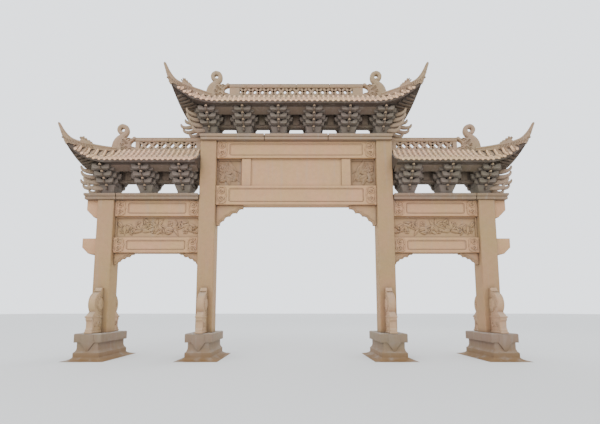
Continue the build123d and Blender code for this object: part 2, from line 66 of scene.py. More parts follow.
# Roof tiles
TILE_PITCH = 0.168
SHORTEST_ROW = 0.07
TILE_LENGTH = 0.16
COVER_RADIUS = 0.048
PAN_RISE = 0.012
DISC_RADIUS = 0.054
DISC_PROFILE = ((1, -0.02), (1, 0.012), (0.8, 0.014), (0.74, 0.006), (0.3, 0.006))
DRIP_DROP = 0.062
RAFTER_PITCH = 0.1

# How far a raised line goes into the face behind it
BEAD_SUNK = 0.004


class Shape:
    """The vertices and faces of one piece, gathered from many small parts."""

    def __init__(self):
        self.verts = []
        self.faces = []

    def add(self, part, place=None):
        """Add a part, a pair of points and faces, or another Shape, moved by a matrix."""
        verts, faces = (part.verts, part.faces) if isinstance(part, Shape) else part
        start = len(self.verts)
        flip = place is not None and place.determinant() < 0
        for vert in verts:
            self.verts.append(place @ Vector(vert) if place else Vector(vert))
        for face in faces:
            moved = [start + index for index in face]
            self.faces.append(moved[::-1] if flip else moved)
        return self


def new_object(name, data):
    """A new object in the scene that shows a mesh, curve, lamp or camera."""
    thing = bpy.data.objects.new(name, data)
    bpy.context.scene.collection.objects.link(thing)
    return thing


def place_piece(shape, name, material, replaced=(), smooth_angle=35):
    """Make one Blender object of a Shape that rides on the root body."""
    mesh = bpy.data.meshes.new(name)
    mesh.from_pydata([tuple(vert) for vert in shape.verts], [], shape.faces)
    work = bmesh.new()
    work.from_mesh(mesh)
    bmesh.ops.remove_doubles(work, verts=work.verts, dist=1e-5)
    bmesh.ops.recalc_face_normals(work, faces=work.faces)
    for edge in work.edges:
        edge.smooth = len(edge.link_faces) == 2 and edge.calc_face_angle(0) < math.radians(smooth_angle)
    for face in work.faces:
        face.smooth = True
    work.to_mesh(mesh)
    work.free()
    mesh.materials.append(material)
    piece = new_object(name, mesh)
    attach(piece, "root")
    if replaced:
        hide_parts(*replaced)
    return piece


def place_pair(shape, name, material, replaced=()):
    """Place a piece of the right-hand side and its mirror image on the left."""
    place_piece(shape, f"right_{name}", material, [f"right_{node}" for node in replaced])
    mirrored = Shape().add(shape, MIRROR_X)
    place_piece(mirrored, f"left_{name}", material, [f"left_{node}" for node in replaced])


def front_and_back(shape):
    """The shape and its mirror image on the other face."""
    return Shape().add(shape).add(shape, MIRROR_Y)


def loft(rings):
    """Faces between rings of as many points each, closed at both ends."""
    count = len(rings[0])
    verts = [point for ring in rings for point in ring]
    faces = [list(range(count))[::-1], [len(verts) - count + index for index in range(count)]]
    for ring in range(len(rings) - 1):
        for index in range(count):
            start = ring * count
            following = (index + 1) % count
            faces.append((start + index, start + following, start + count + following, start + count + index))
    return verts, faces


def tangents(points):
    """Unit directions along a line of points."""
    ends = [points[0], *points, points[-1]]
    return [(after - before).normalized() for before, after in zip(ends, ends[2:])]


def sweep(points, section, normal, scales=None):
    """A section of (across, out) pairs carried along points; out is along the normal."""
    points = [Vector(point) for point in points]
    scales = scales or [1] * len(points)
    rings = []
    for point, along, scale in zip(points, tangents(points), scales):
        across = along.cross(normal).normalized()
        out = across.cross(along)
        rings.append([point + across * (u * scale) + out * (v * scale) for u, v in section])
    return loft(rings)


def half_round(width, height):
    """Section of a raised bead that is sunk a little into the face behind it."""
    turns = [math.radians(36 * step) for step in range(6)]
    arc = [(width / 2 * math.cos(turn), height * math.sin(turn)) for turn in turns]
    return [(width / 2, -BEAD_SUNK), *arc, (-width / 2, -BEAD_SUNK)]


def bead(points, width, height, normal, taper_ends=False):
    """A raised bead along points on a face."""
    scales = None
    if taper_ends:
        last = len(points) - 1
        scales = [0.35 + 0.65 * math.sin(math.pi * (0.15 + 0.7 * i / last)) for i in range(last + 1)]
    return sweep(points, half_round(width, height), normal, scales)


def smooth_line(points, steps=6, closed=False):
    """Points of a smooth curve through the given ones."""
    points = [Vector(point) for point in points]
    ends = [points[-1], *points, points[0], points[1]] if closed else [points[0], *points, points[-1]]
    line = []
    for a, b, c, d in zip(ends, ends[1:], ends[2:], ends[3:]):
        for step in range(steps):
            t = step / steps
            line.append(
                0.5 * (2 * b + (c - a) * t + (2 * a - 5 * b + 4 * c - d) * t**2
                       + (3 * b - a - 3 * c + d) * t**3)
            )
    if not closed:
        line.append(points[-1])
    return line


def spiral(centre, start_radius, end_radius, start_turn, turns, steps):
    """Points of a flat spiral; turns is signed, in whole turns."""
    line = []
    for step in range(steps + 1):
        share = step / steps
        turn = start_turn + 2 * math.pi * turns * share
        radius = start_radius + (end_radius - start_radius) * share**0.8
        line.append(Vector((centre[0] + radius * math.cos(turn), centre[1] + radius * math.sin(turn))))
    return line


def on_face(points, y):
    """Points of a drawing (across, up) set on the face at Y."""
    return [Vector((point[0], y, point[1])) for point in points]


def circle(count):
    """Points (cosine, sine) spaced evenly round a circle of radius 1."""
    turns = [2 * math.pi * step / count for step in range(count)]
    return [(math.cos(turn), math.sin(turn)) for turn in turns]


def stack(courses, centre=(0, 0)):
    """Courses of rectangles (half width, half depth, height) joined into one moulding."""
    rings = []
    for half_x, half_y, z in courses:
        rings.append([
            Vector((centre[0] + side_x * half_x, centre[1] + side_y * half_y, z))
            for side_x, side_y in ((-1, -1), (1, -1), (1, 1), (-1, 1))
        ])
    return loft(rings)


def block(half_x, half_y, bottom, top, centre=(0, 0)):
    """A plain block between two heights."""
    return stack(((half_x, half_y, bottom), (half_x, half_y, top)), centre)


def plate_of(outline, half_thickness, bevel, segments=2):
    """A plate cut to an outline (across, up) in the XZ plane, with rounded edges."""
    curve = bpy.data.curves.new("outline", "CURVE")
    curve.dimensions = "2D"
    curve.fill_mode = "BOTH"
    curve.extrude = half_thickness - bevel
    curve.bevel_depth = bevel
    curve.bevel_resolution = segments
    curve.offset = -bevel
    spline = curve.splines.new("POLY")
    spline.points.add(len(outline) - 1)
    spline.use_cyclic_u = True
    for target, point in zip(spline.points, outline):
        target.co = (point[0], point[1], 0, 1)
    holder = new_object("outline", curve)
    evaluated = holder.evaluated_get(bpy.context.evaluated_depsgraph_get())
    mesh = bpy.data.meshes.new_from_object(evaluated)
    upright = Matrix.Rotation(math.pi / 2, 4, "X")
    part = ([upright @ vert.co for vert in mesh.vertices], [list(face.vertices) for face in mesh.polygons])
    bpy.data.objects.remove(holder)
    bpy.data.curves.remove(curve)
    bpy.data.meshes.remove(mesh)
    return part


def dome(centre, radius, height, normal, sides=10):
    """A low round boss on a face."""
    normal = Vector(normal).normalized()
    across = normal.orthogonal().normalized()
    other = normal.cross(across)
    rings = []
    for share in (-0.1, 0.0, 0.35, 0.7, 0.95):
        size = radius * math.sqrt(max(0.05, 1 - share * share))
        middle = Vector(centre) + normal * height * share
        rings.append([middle + (across * u + other * v) * size for u, v in circle(sides)])
    return loft(rings)


def leaf(start, direction, length, width, height, y, bend=0.0):
    """A carved leaf with a raised rib, on the face at Y that looks to the front."""
    verts = []
    along = Vector(direction).normalized()
    side = Vector((-along.y, along.x))
    shares = (0, 0.2, 0.45, 0.7, 0.88, 1)
    widths = (0.1, 0.75, 1, 0.75, 0.4, 0)
    for share, spread in zip(shares, widths):
        middle = Vector(start) + along * length * share + side * bend * length * share**2
        half = side * width / 2 * spread
        rise = height * (0.35 + 0.65 * math.sin(math.pi * min(share + 0.12, 1)))
        left, right = middle + half, middle - half
        verts += [(left.x, y + 0.003, left.y), (left.x, y - rise * 0.45, left.y)]
        verts += [(middle.x, y - rise, middle.y)]
        verts += [(right.x, y - rise * 0.45, right.y), (right.x, y + 0.003, right.y)]
    rings = [verts[index:index + 5] for index in range(0, len(verts), 5)]
    return loft(rings)


def flower(centre, radius, height, y, petals=6):
    """A carved flower of pointed petals round a boss, on the face at Y."""
    shape = Shape()
    for petal in range(petals):
        turn = 2 * math.pi * petal / petals + 0.3
        direction = (math.cos(turn), math.sin(turn))
        start = (centre[0] + direction[0] * radius * 0.15, centre[1] + direction[1] * radius * 0.15)
        shape.add(leaf(start, direction, radius * 0.85, radius * 0.75, height * 0.8, y))
    shape.add(dome((centre[0], y, centre[1]), radius * 0.3, height, (0, -1, 0)))
    return shape


# Materials
MOTTLE = (0.6, 0.55, 0.5)
DARK_GRAIN = (0.16, 0.13, 0.12)
RAIN_GREY = (0.31, 0.28, 0.245)
WEATHER_BROWN = (0.21, 0.18, 0.155)
EARTH = (0.17, 0.094, 0.036)
# Colour of grime and of painted shade in the hollows
GRIME_AND_SHADE = (0.085, 0.068, 0.058)


def stone(slot, colour, stain=0.35, streaks=0.25, dirt_and_shade=0.45, dirt_and_shade_reach=0.16, foot_height=0.0):
    """Granite: mottled, speckled, grey where rain lies and runs, and darkened in its corners by grime and
    painted shade.
    """
    material = bpy.data.materials.new(slot)
    material["slot"] = slot
    material.use_nodes = True
    nodes = material.node_tree.nodes
    links = material.node_tree.links
    shader = nodes["Principled BSDF"]
    place = nodes.new("ShaderNodeTexCoord").outputs["Object"]

    def noise(scale, detail, stretch=None, roughness=0.55):
        node = nodes.new("ShaderNodeTexNoise")
        node.inputs["Scale"].default_value = scale
        node.inputs["Detail"].default_value = detail
        node.inputs["Roughness"].default_value = roughness
        source = place
        if stretch:
            mapping = nodes.new("ShaderNodeMapping")
            mapping.inputs["Scale"].default_value = stretch
            links.new(place, mapping.inputs["Vector"])
            source = mapping.outputs["Vector"]
        links.new(source, node.inputs["Vector"])
        return node.outputs["Fac"]

    def ramp(source, low, high, start=0.0, end=1.0):
        node = nodes.new("ShaderNodeMapRange")
        node.inputs["From Min"].default_value = low
        node.inputs["From Max"].default_value = high
        node.inputs["To Min"].default_value = start
        node.inputs["To Max"].default_value = end
        links.new(source, node.inputs["Value"])
        return node.outputs["Result"]

    def fill(socket, value):
        if isinstance(value, bpy.types.NodeSocket):
            links.new(value, socket)
        else:
            socket.default_value = (*value, 1) if isinstance(value, tuple) else value

    def mix(base, tint, amount, blend="MIX"):
        node = nodes.new("ShaderNodeMix")
        node.data_type = "RGBA"
        node.blend_type = blend
        for socket, value in ((node.inputs[6], base), (node.inputs[7], tint), (node.inputs[0], amount)):
            fill(socket, value)
        return node.outputs[2]

    def product(first, second):
        node = nodes.new("ShaderNodeMath")
        node.operation = "MULTIPLY"
        for socket, value in zip(node.inputs, (first, second)):
            fill(socket, value)
        return node.outputs[0]

    def bump(height, strength, distance):
        node = nodes.new("ShaderNodeBump")
        node.inputs["Strength"].default_value = strength
        node.inputs["Distance"].default_value = distance
        links.new(height, node.inputs["Height"])
        return node

    pink = (colour[0] * 1.04, colour[1] * 0.96, colour[2] * 0.97)
    sand = (colour[0] * 0.97, colour[1] * 0.99, colour[2] * 0.88)
    mottled = mix(pink, sand, ramp(noise(0.9, 3), 0.35, 0.65))
    mottled = mix(mottled, MOTTLE, ramp(noise(7, 6, roughness=0.7), 0.3, 0.75, 0, 0.3), "MULTIPLY")
    grains = nodes.new("ShaderNodeTexVoronoi")
    grains.inputs["Scale"].default_value = 210
    links.new(place, grains.inputs["Vector"])
    speckled = mix(mottled, grains.outputs["Color"], 0.1, "OVERLAY")
    speckled = mix(speckled, DARK_GRAIN, ramp(noise(330, 2), 0.64, 0.72, 0, 0.45))
    geometry = nodes.new("ShaderNodeNewGeometry")
    facing = nodes.new("ShaderNodeSeparateXYZ")
    links.new(geometry.outputs["Normal"], facing.inputs[0])
    upward = ramp(facing.outputs["Z"], 0.35, 0.95)
    lying = product(upward, ramp(noise(3.2, 8, roughness=0.65), 0.38, 0.62, 0, stain * 1.6))
    weathered = mix(speckled, RAIN_GREY, lying)
    running = ramp(noise(1.0, 6, (9, 9, 0.55), 0.6), 0.55, 0.75, 0, streaks)
    weathered = mix(weathered, RAIN_GREY, running)
    spread = ramp(noise(1.7, 7, roughness=0.7), 0.52, 0.8, 0, stain)
    weathered = mix(weathered, WEATHER_BROWN, spread)
    if foot_height:
        spot = nodes.new("ShaderNodeSeparateXYZ")
        links.new(place, spot.inputs[0])
        low = ramp(spot.outputs["Z"], 0, foot_height, 1.0, 0)
        weathered = mix(weathered, EARTH, product(low, ramp(noise(3, 7), 0.2, 0.5)))
    # Painted shade with grime: ambient occlusion darkens the colour in corners, recesses and gaps between
    # parts, where shade falls as well as grime
    occlusion_shade = nodes.new("ShaderNodeAmbientOcclusion")
    occlusion_shade.samples = 6
    occlusion_shade.inputs["Distance"].default_value = dirt_and_shade_reach
    shaded_hollow = ramp(occlusion_shade.outputs["AO"], 0.35, 0.95, dirt_and_shade, 0)
    links.new(mix(weathered, GRIME_AND_SHADE, shaded_hollow), shader.inputs["Base Color"])
    links.new(ramp(noise(40, 4), 0.3, 0.7, 0.72, 0.94), shader.inputs["Roughness"])
    shader.inputs["Specular IOR Level"].default_value = 0.3
    fine = bump(noise(120, 5, roughness=0.65), 0.35, 0.004)
    broad = bump(noise(9, 5), 0.5, 0.012)
    links.new(fine.outputs["Normal"], broad.inputs["Normal"])
    links.new(broad.outputs["Normal"], shader.inputs["Normal"])
    return material


# Below, how strongly and how far each stone's corners darken is painted shade with grime
plinth_stone = stone("plinth_granite", (0.22, 0.158, 0.11), stain=0.6, dirt_and_shade_reach=0.1, foot_height=0.5)
drum_stone = stone("drum_granite", (0.431, 0.286, 0.169), dirt_and_shade_reach=0.07)
column_stone = stone("column_granite", (0.364, 0.232, 0.12), stain=0.2)
beam_stone = stone("beam_granite", (0.481, 0.289, 0.156), stain=0.2, dirt_and_shade=0.8, dirt_and_shade_reach=0.05)
panel_stone = stone("panel_granite", (0.4, 0.251, 0.138), stain=0.25, dirt_and_shade=0.85, dirt_and_shade_reach=0.05)
square_stone = stone("panel_granite", (0.31, 0.194, 0.11), stain=0.4, dirt_and_shade=0.7, dirt_and_shade_reach=0.07)
plate_stone = stone("plate_granite", (0.3, 0.206, 0.137), stain=0.7, streaks=0.55)
side_plate_stone = stone("plate_granite", (0.245, 0.167, 0.107), stain=0.7, streaks=0.55)
# The bracket granite in three copies: dark for the arms, painted shade under the eaves with some grime;
# lighter for the claws that reach out into the light, a lit copy; lightest for the knobs, a painted highlight
# where the beak tips catch the light
shaded_bracket_stone = stone("bracket_granite", (0.168, 0.137, 0.111), stain=0.5, dirt_and_shade=0.92, dirt_and_shade_reach=0.12)
lit_claw_stone = stone("bracket_granite", (0.327, 0.237, 0.168), stain=0.3, dirt_and_shade=0.5)
highlight_nose_stone = stone("bracket_granite", (0.488, 0.351, 0.233), stain=0.1, dirt_and_shade=0.2)
# Dark copies of the roof granite, painted shade: for the soffit, boards, beaks and rafters under the eaves,
# and near black for the stone under the tiles, whose undersides and gaps lie in shade
shaded_soffit_stone = stone("roof_granite", (0.15, 0.112, 0.082), stain=0.5, dirt_and_shade=0.45)
eave_shade_stone = stone("roof_granite", (0.075, 0.056, 0.043), stain=0.4, dirt_and_shade=0.5)
roof_stone = stone("roof_granite", (0.69, 0.46, 0.286), stain=0.25, dirt_and_shade=0.7, dirt_and_shade_reach=0.08)
# The pans are a darker copy of the covers' granite: painted shade, as they lie low between the covers
shaded_pan_stone = stone("roof_granite", (0.4, 0.264, 0.16), stain=0.45, dirt_and_shade=0.8, dirt_and_shade_reach=0.1)
ridge_stone = stone("ridge_granite", (0.33, 0.232, 0.15), stain=0.4, dirt_and_shade_reach=0.1)


# Roofs
class Roof:
    """A roof's plan and heights, read from its CAD node."""

    def __init__(self, node, ridge, inner_x, sweep_length):
        low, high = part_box(node)
        self.inner_x = inner_x
        self.corner_x = high.x
        self.hip_x = high.x - HIP_RUN_X
        self.eave_z = low.z
        self.ridge_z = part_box(ridge)[0].z
        self.sweep_x = high.x - sweep_length
        self.sweep_length = sweep_length
        self.corner_y = EAVE_HALF_DEPTH + CORNER_OUT

    def height(self, share, lift):
        """Top of the roof at a share of the way from ridge to eave."""
        eave_top = self.eave_z + lift + EAVE_THICKNESS
        straight = self.ridge_z + (eave_top - self.ridge_z) * share
        return straight - ROOF_SAG * 4 * share * (1 - share)

    def front_point(self, x, y, under=False):
        """The point of the front slope at x, y; y is positive towards the eave."""
        share = min(1, (y - RIDGE_HALF) / (EAVE_HALF_DEPTH - RIDGE_HALF))
        for _ in range(10):
            reach = self.hip_x - self.sweep_x + share * HIP_RUN_X
            swept = min(1, max(0, (x - self.sweep_x) / reach)) ** SWEEP_POWER
            share = (y - RIDGE_HALF) / (EAVE_HALF_DEPTH - RIDGE_HALF + CORNER_OUT * swept)
        if under:
            return Vector((x, -y, self.eave_z + CORNER_LIFT * swept * share))
        return Vector((x, -y, self.height(share, CORNER_LIFT * swept)))

    def front_eave_y(self, x):
        """Where the front eave lies, further out towards the corner."""
        swept = max(0, (x - self.sweep_x) / self.sweep_length) ** SWEEP_POWER
        return EAVE_HALF_DEPTH + CORNER_OUT * swept

    def front_start_y(self, x):
        """Where a row of tiles starts: at the ridge, or further out at the hip."""
        past = max(0, x - self.hip_x) / HIP_RUN_X
        return RIDGE_HALF + past * (self.corner_y - RIDGE_HALF)

    def end_point(self, x, y, under=False):
        """The point of the end slope at x, y."""
        share = 0.5
        for _ in range(14):
            along = min(1, abs(y) / (RIDGE_HALF * (1 - share) + self.corner_y * share))
            share = (x - self.hip_x) / (self.end_eave_x(along * self.corner_y) - self.hip_x)
        lift = END_EAVE_LIFT + (CORNER_LIFT - END_EAVE_LIFT) * along**SWEEP_POWER
        if under:
            return Vector((x, y, self.eave_z + lift * share))
        return Vector((x, y, self.height(share, lift)))

    def end_eave_x(self, y):
        """Where the end eave lies, further out towards the corners."""
        swept = min(1, abs(y) / self.corner_y) ** SWEEP_POWER
        return self.hip_x + END_EAVE_OFFSET + (HIP_RUN_X - END_EAVE_OFFSET) * swept

    def end_start_x(self, y):
        """Where a row of the end slope starts: at the hip."""
        past = max(0, abs(y) - RIDGE_HALF) / (self.corner_y - RIDGE_HALF)
        return self.hip_x + past * HIP_RUN_X


centre_roof = Roof("centre_roof", "centre_ridge", 0, 1.5)
side_roof = Roof("right_side_roof", "right_side_ridge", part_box("right_side_roof")[0].x, 1.08)


def rows_between(start, end, wanted=TILE_PITCH):
    """Evenly spaced tile rows between two places, with pans between and beside them."""
    count = max(1, round((end - start) / wanted))
    pitch = (end - start) / count
    return [start + pitch * (row + 0.5) for row in range(count)], pitch


def tile_path(point_at, eave, start):
    """Points up the slope from the eave, one at the foot of each tile."""
    count = max(1, round(abs(eave - start) / TILE_LENGTH))
    return [point_at(eave + (start - eave) * step / count) for step in range(count + 1)]


def stepped(path, section_at):
    """A run of tiles along a path, each overlapping the one below it."""
    rings = []
    for foot, head, along in zip(path, path[1:], tangents(path)):
        across = along.cross(UP).normalized()
        out = across.cross(along)
        for point, at_head in ((foot, False), (head, True)):
            rings.append([point + across * u + out * v for u, v in section_at(at_head)])
    return loft(rings)


def cover_section(at_head):
    """The round section of a cover tile, narrower at its upper end."""
    radius = COVER_RADIUS * (0.86 if at_head else 1)
    turns = [math.radians(30 * step) for step in range(7)]
    arc = [(radius * math.cos(turn), 0.008 + radius * 1.05 * math.sin(turn)) for turn in turns]
    return [(radius, -0.01), *arc, (-radius, -0.01)]


def pan_section(pitch):
    """The hollow section of a pan tile, as a function of the end of the tile."""
    def section(at_head):
        drop = -0.002 if at_head else PAN_RISE
        half = pitch / 2
        return [
            (half, -0.03), (half, 0.02 + drop), (half * 0.5, 0.007 + drop), (0, 0.003 + drop),
            (-half * 0.5, 0.007 + drop), (-half, 0.02 + drop), (-half, -0.03),
        ]
    return section


def eave_disc(foot, outward):
    """The round end of a cover row, with a rim and a flower boss."""
    shape = Shape()
    centre = foot + UP * 0.022 + outward * 0.012
    across = outward.cross(UP).normalized()
    rings = []
    for share, out in DISC_PROFILE:
        middle = centre + outward * out
        rings.append([middle + (across * u + UP * v) * DISC_RADIUS * share for u, v in circle(12)])
    shape.add(loft(rings))
    shape.add(dome(centre + outward * 0.005, DISC_RADIUS * 0.42, 0.012, outward, 8))
    return shape


def eave_drip(foot, outward, pitch):
    """The rounded drip at the foot of a pan, with a raised middle."""
    across = outward.cross(UP).normalized()
    half = pitch * 0.34
    left = [(-half, 0.02), (-half, -0.012),
            (-half * 0.8, -DRIP_DROP * 0.6), (-half * 0.42, -DRIP_DROP * 0.88)]
    outline = [*left, (0, -DRIP_DROP), *((-u, v) for u, v in reversed(left))]
    rings = []
    for out, size in ((-0.006, 1), (0.014, 1), (0.022, 0.55)):
        rings.append([foot + across * u * size + UP * (v * size) + outward * out for u, v in outline])
    return loft(rings)


def tiles_of(cover_places, pan_places, pitch, point_at, start_at, eave_at):
    """The tile rows of one slope: covers with their discs and drips, and the pans."""
    covers, pans = Shape(), Shape()
    rows = [(place, False) for place in cover_places] + [(place, True) for place in pan_places]
    for place, is_pan in rows:
        if abs(eave_at(place) - start_at(place)) < SHORTEST_ROW:
            continue
        path = tile_path(lambda run: point_at(place, run), eave_at(place), start_at(place))
        outward = path[0] - path[1]
        outward = Vector((outward.x, outward.y, 0)).normalized()
        if is_pan:
            pans.add(stepped(path, pan_section(pitch)))
            covers.add(eave_drip(path[0], outward, pitch))
        else:
            covers.add(stepped(path, cover_section))
            covers.add(eave_disc(path[0], outward))
    return covers, pans


def front_tiles(roof, cover_places, pan_places, pitch):
    """Covers and pans of the front slope, repeated on the back."""
    slope = tiles_of(cover_places, pan_places, pitch, lambda x, y: roof.front_point(x, y),
                     roof.front_start_y, roof.front_eave_y)
    return [front_and_back(shape) for shape in slope]


def roof_tiles(roof):
    """Covers and pans on the front, back and end slopes of the right half of a roof."""
    rows, pitch = rows_between(roof.inner_x, roof.corner_x - 0.04)
    front = front_tiles(roof, rows, [row + pitch / 2 for row in rows], pitch)
    rows, pitch = rows_between(-roof.corner_y + 0.04, roof.corner_y - 0.04)
    end = tiles_of(rows, [row + pitch / 2 for row in rows], pitch, lambda y, x: roof.end_point(x, y),
                   roof.end_start_x, roof.end_eave_x)
    return [slope.add(rest) for slope, rest in zip(front, end)]


def end_rafters(roof):
    """Boards on the underside of the end eave."""
    shape = Shape()
    section = [(-0.04, 0.01), (0.04, 0.01), (0.036, -0.035), (-0.036, -0.035)]
    rows, _ = rows_between(-roof.corner_y + 0.06, roof.corner_y - 0.06, RAFTER_PITCH)
    for y in rows:
        start, end = roof.end_start_x(y) + 0.03, roof.end_eave_x(y) - 0.03
        if end - start > 0.1:
            path = [roof.end_point(start + (end - start) * step / 6, y, under=True) for step in range(7)]
            shape.add(sweep(path, section, UP))
    return shape


# The right half of the centre roof is mirrored onto the left in one piece, with a pan between them
MIDDLE_PITCH = rows_between(centre_roof.inner_x, centre_roof.corner_x - 0.04)[1]
middle_tiles = front_tiles(centre_roof, [], [0], MIDDLE_PITCH)
for shape, middle, part, material in zip(roof_tiles(centre_roof), middle_tiles, ("covers", "pans"),
                                         (roof_stone, shaded_pan_stone)):
    whole = Shape().add(shape).add(shape, MIRROR_X).add(middle)
    place_piece(whole, f"centre_roof_{part}", material)
for shape, part, material in zip(roof_tiles(side_roof), ("covers", "pans"), (roof_stone, shaded_pan_stone)):
    place_pair(shape, f"side_roof_{part}", material)
place_pair(end_rafters(centre_roof), "centre_end_rafters", shaded_soffit_stone)
place_pair(end_rafters(side_roof), "side_end_rafters", shaded_soffit_stone)


# The stone under the tiles
CORE_STEPS = 36
CORE_DROP = 0.004


def core_slope(places, point_at, start_at, eave_at):
    """The stone under one slope, with its curved underside."""
    rings = []
    for place in places:
        eave = eave_at(place)
        start = min(start_at(place), eave - 0.01)
        runs = [start + (eave - start) * step / 6 for step in range(7)]
        under = [point_at(place, run, True) for run in (start, eave)]
        rings.append(under + [point_at(place, run, False) - UP * CORE_DROP for run in reversed(runs)])
    return loft(rings)


def roof_core(roof):
    """The stone under the front, back and end slopes of the right half of a roof."""
    length = roof.corner_x - roof.inner_x
    places = [roof.inner_x + length * step / CORE_STEPS for step in range(CORE_STEPS + 1)]
    front = core_slope(places, roof.front_point, roof.front_start_y, roof.front_eave_y)
    shape = front_and_back(Shape().add(front))
    places = [roof.corner_y * (2 * step / CORE_STEPS - 1) for step in range(CORE_STEPS + 1)]
    shape.add(core_slope(places, lambda y, x, under: roof.end_point(x, y, under),
                         roof.end_start_x, roof.end_eave_x))
    half = (roof.hip_x - roof.inner_x) / 2
    return shape.add(block(half, RIDGE_HALF, roof.eave_z, roof.ridge_z, (roof.inner_x + half, 0)))


right_core = roof_core(centre_roof)
place_piece(Shape().add(right_core).add(right_core, MIRROR_X), "centre_roof_stone", eave_shade_stone,
            ["centre_roof"])
place_pair(roof_core(side_roof), "side_roof_stone", eave_shade_stone, ["side_roof"])


# Hip ridges
HIP_START_RISE = 0.11
HIP_TOP = ((0.3, 0.29), (0.6, 0.235), (0.8, 0.22), (0.92, 0.25), (1.01, 0.35), (1.085, 0.49),
           (1.125, 0.6), (1.18, 0.608))
HIP_OUTER = ((1.0, 0.0), (1.045, 0.13), (1.09, 0.29), (1.13, 0.45), (1.16, 0.585))
HIP_START = 0.05
HIP_REACH = 1.115
HIP_STATIONS = 34
HIP_SCALE_ROWS = ((0.03, 0.07), (0.085, 0.055))
HIP_HEAD_SHARE = 0.62
HIP_HEAD_OUTLINE = (
    (-0.2, -0.05), (-0.24, 0.03), (-0.17, 0.06), (-0.19, 0.1), (-0.1, 0.1), (-0.08, 0.15), (0.0, 0.13),
    (0.05, 0.2), (0.11, 0.17), (0.12, 0.23), (0.19, 0.22), (0.24, 0.1), (0.26, -0.05),
)
HIP_HALF = 0.06
HIP_HEAD_SIZE = 0.78


def value_along(line, share):
    """Height of a line of points at a share of the way along it."""
    for start, end in zip(line, line[1:]):
        if share <= end[0]:
            return start[1] + (end[1] - start[1]) * (share - start[0]) / (end[0] - start[0])
    return line[-1][1]


def hip_ridge(roof):
    """A hip ridge that sweeps up past the corner, with scales and a small dragon head."""
    inner = Vector((roof.hip_x, -RIDGE_HALF, 0))
    corner = Vector((roof.corner_x, -roof.corner_y, 0))
    run = (corner - inner).length
    along = (corner - inner).normalized()
    across = along.cross(UP)
    corner_z = roof.eave_z + CORNER_LIFT
    rise = roof.ridge_z + HIP_START_RISE - corner_z
    top_line = [(p.x, p.y) for p in smooth_line([(0, rise), *HIP_TOP], 8)]
    outer_line = [(p.x, p.y) for p in smooth_line(HIP_OUTER, 6)]

    def foot(share):
        if share > 1:
            return corner_z + value_along(outer_line, share)
        return roof.height(share, CORNER_LIFT) - 0.06 * share

    def point(share, z, side=0.0):
        return inner + along * (run * share) + UP * z + across * side

    shape = Shape()
    stations = [HIP_START + HIP_REACH * step / HIP_STATIONS for step in range(HIP_STATIONS + 1)]
    rings = []
    for share in stations:
        bottom = foot(share)
        top = max(corner_z + value_along(top_line, share), bottom + 0.03)
        slim = 1 - 0.3 * max(0, share - 0.95) / 0.24
        tall = top - bottom
        half = HIP_HALF * slim
        profile = [(0.82, 0), (0.82, tall - min(0.075, tall * 0.5)), (1, tall - min(0.06, tall * 0.4)),
                   (1, tall - min(0.025, tall * 0.2)), (0.6, tall)]
        sides = profile + [(-u, v) for u, v in reversed(profile)]
        rings.append([point(share, bottom + v, half * u) for u, v in sides])
    shape.add(loft(rings))
    for side in (1, -1):
        for row, (rise_at, size) in enumerate(HIP_SCALE_ROWS):
            for step in range(12):
                share = 0.5 + (step + 0.5 * row) * 0.05
                tall = corner_z + value_along(top_line, share) - foot(share)
                if rise_at + size > tall:
                    continue
                slim = 1 - 0.45 * max(0, share - 1) / 0.19
                spot = point(share, foot(share) + rise_at, side * HIP_HALF * 0.8 * slim)
                shape.add(scale_bump(spot, along, across * side, size))
    head_outline = smooth_line(HIP_HEAD_OUTLINE, 3, closed=True)
    spot = point(HIP_HEAD_SHARE, corner_z + value_along(top_line, HIP_HEAD_SHARE) - 0.01)
    turned = Matrix((along, -across, UP)).transposed().to_4x4()
    turned.translation = spot
    head = plate_of([corner * HIP_HEAD_SIZE for corner in head_outline], 0.05, 0.02)
    shape.add(head, turned)
    for side in (1, -1):
        eye = spot - along * 0.07 + UP * 0.06 + across * side * 0.045
        shape.add(dome(eye, 0.02, 0.018, across * side, 8))
        for step in range(3):
            curl = spot + along * (0.02 + 0.07 * step) + UP * (0.06 + 0.02 * step) + across * side * 0.045
            shape.add(scale_bump(curl, along, across * side, 0.08))
    return shape


def scale_bump(spot, along, out, size):
    """A curled scale: a teardrop that is thickest at its free end."""
    rings = []
    for share, width, lift in ((0, 0.1, 0.004), (0.3, 0.75, 0.012), (0.65, 0.95, 0.024), (1, 0.45, 0.03)):
        middle = spot + along * size * 0.7 * share + UP * size * 0.35 * share
        half = UP * size * 0.42 * width
        rings.append([middle - half - out * 0.004, middle - half * 0.6 + out * lift * 0.7,
                      middle + half * 0.6 + out * lift, middle + half - out * 0.004])
    return loft(rings)


for place, roof in (("centre", centre_roof), ("side", side_roof)):
    hips = front_and_back(hip_ridge(roof))
    place_pair(hips, f"{place}_hip_ridges_carved", ridge_stone, [f"{place}_hip_ridges"])


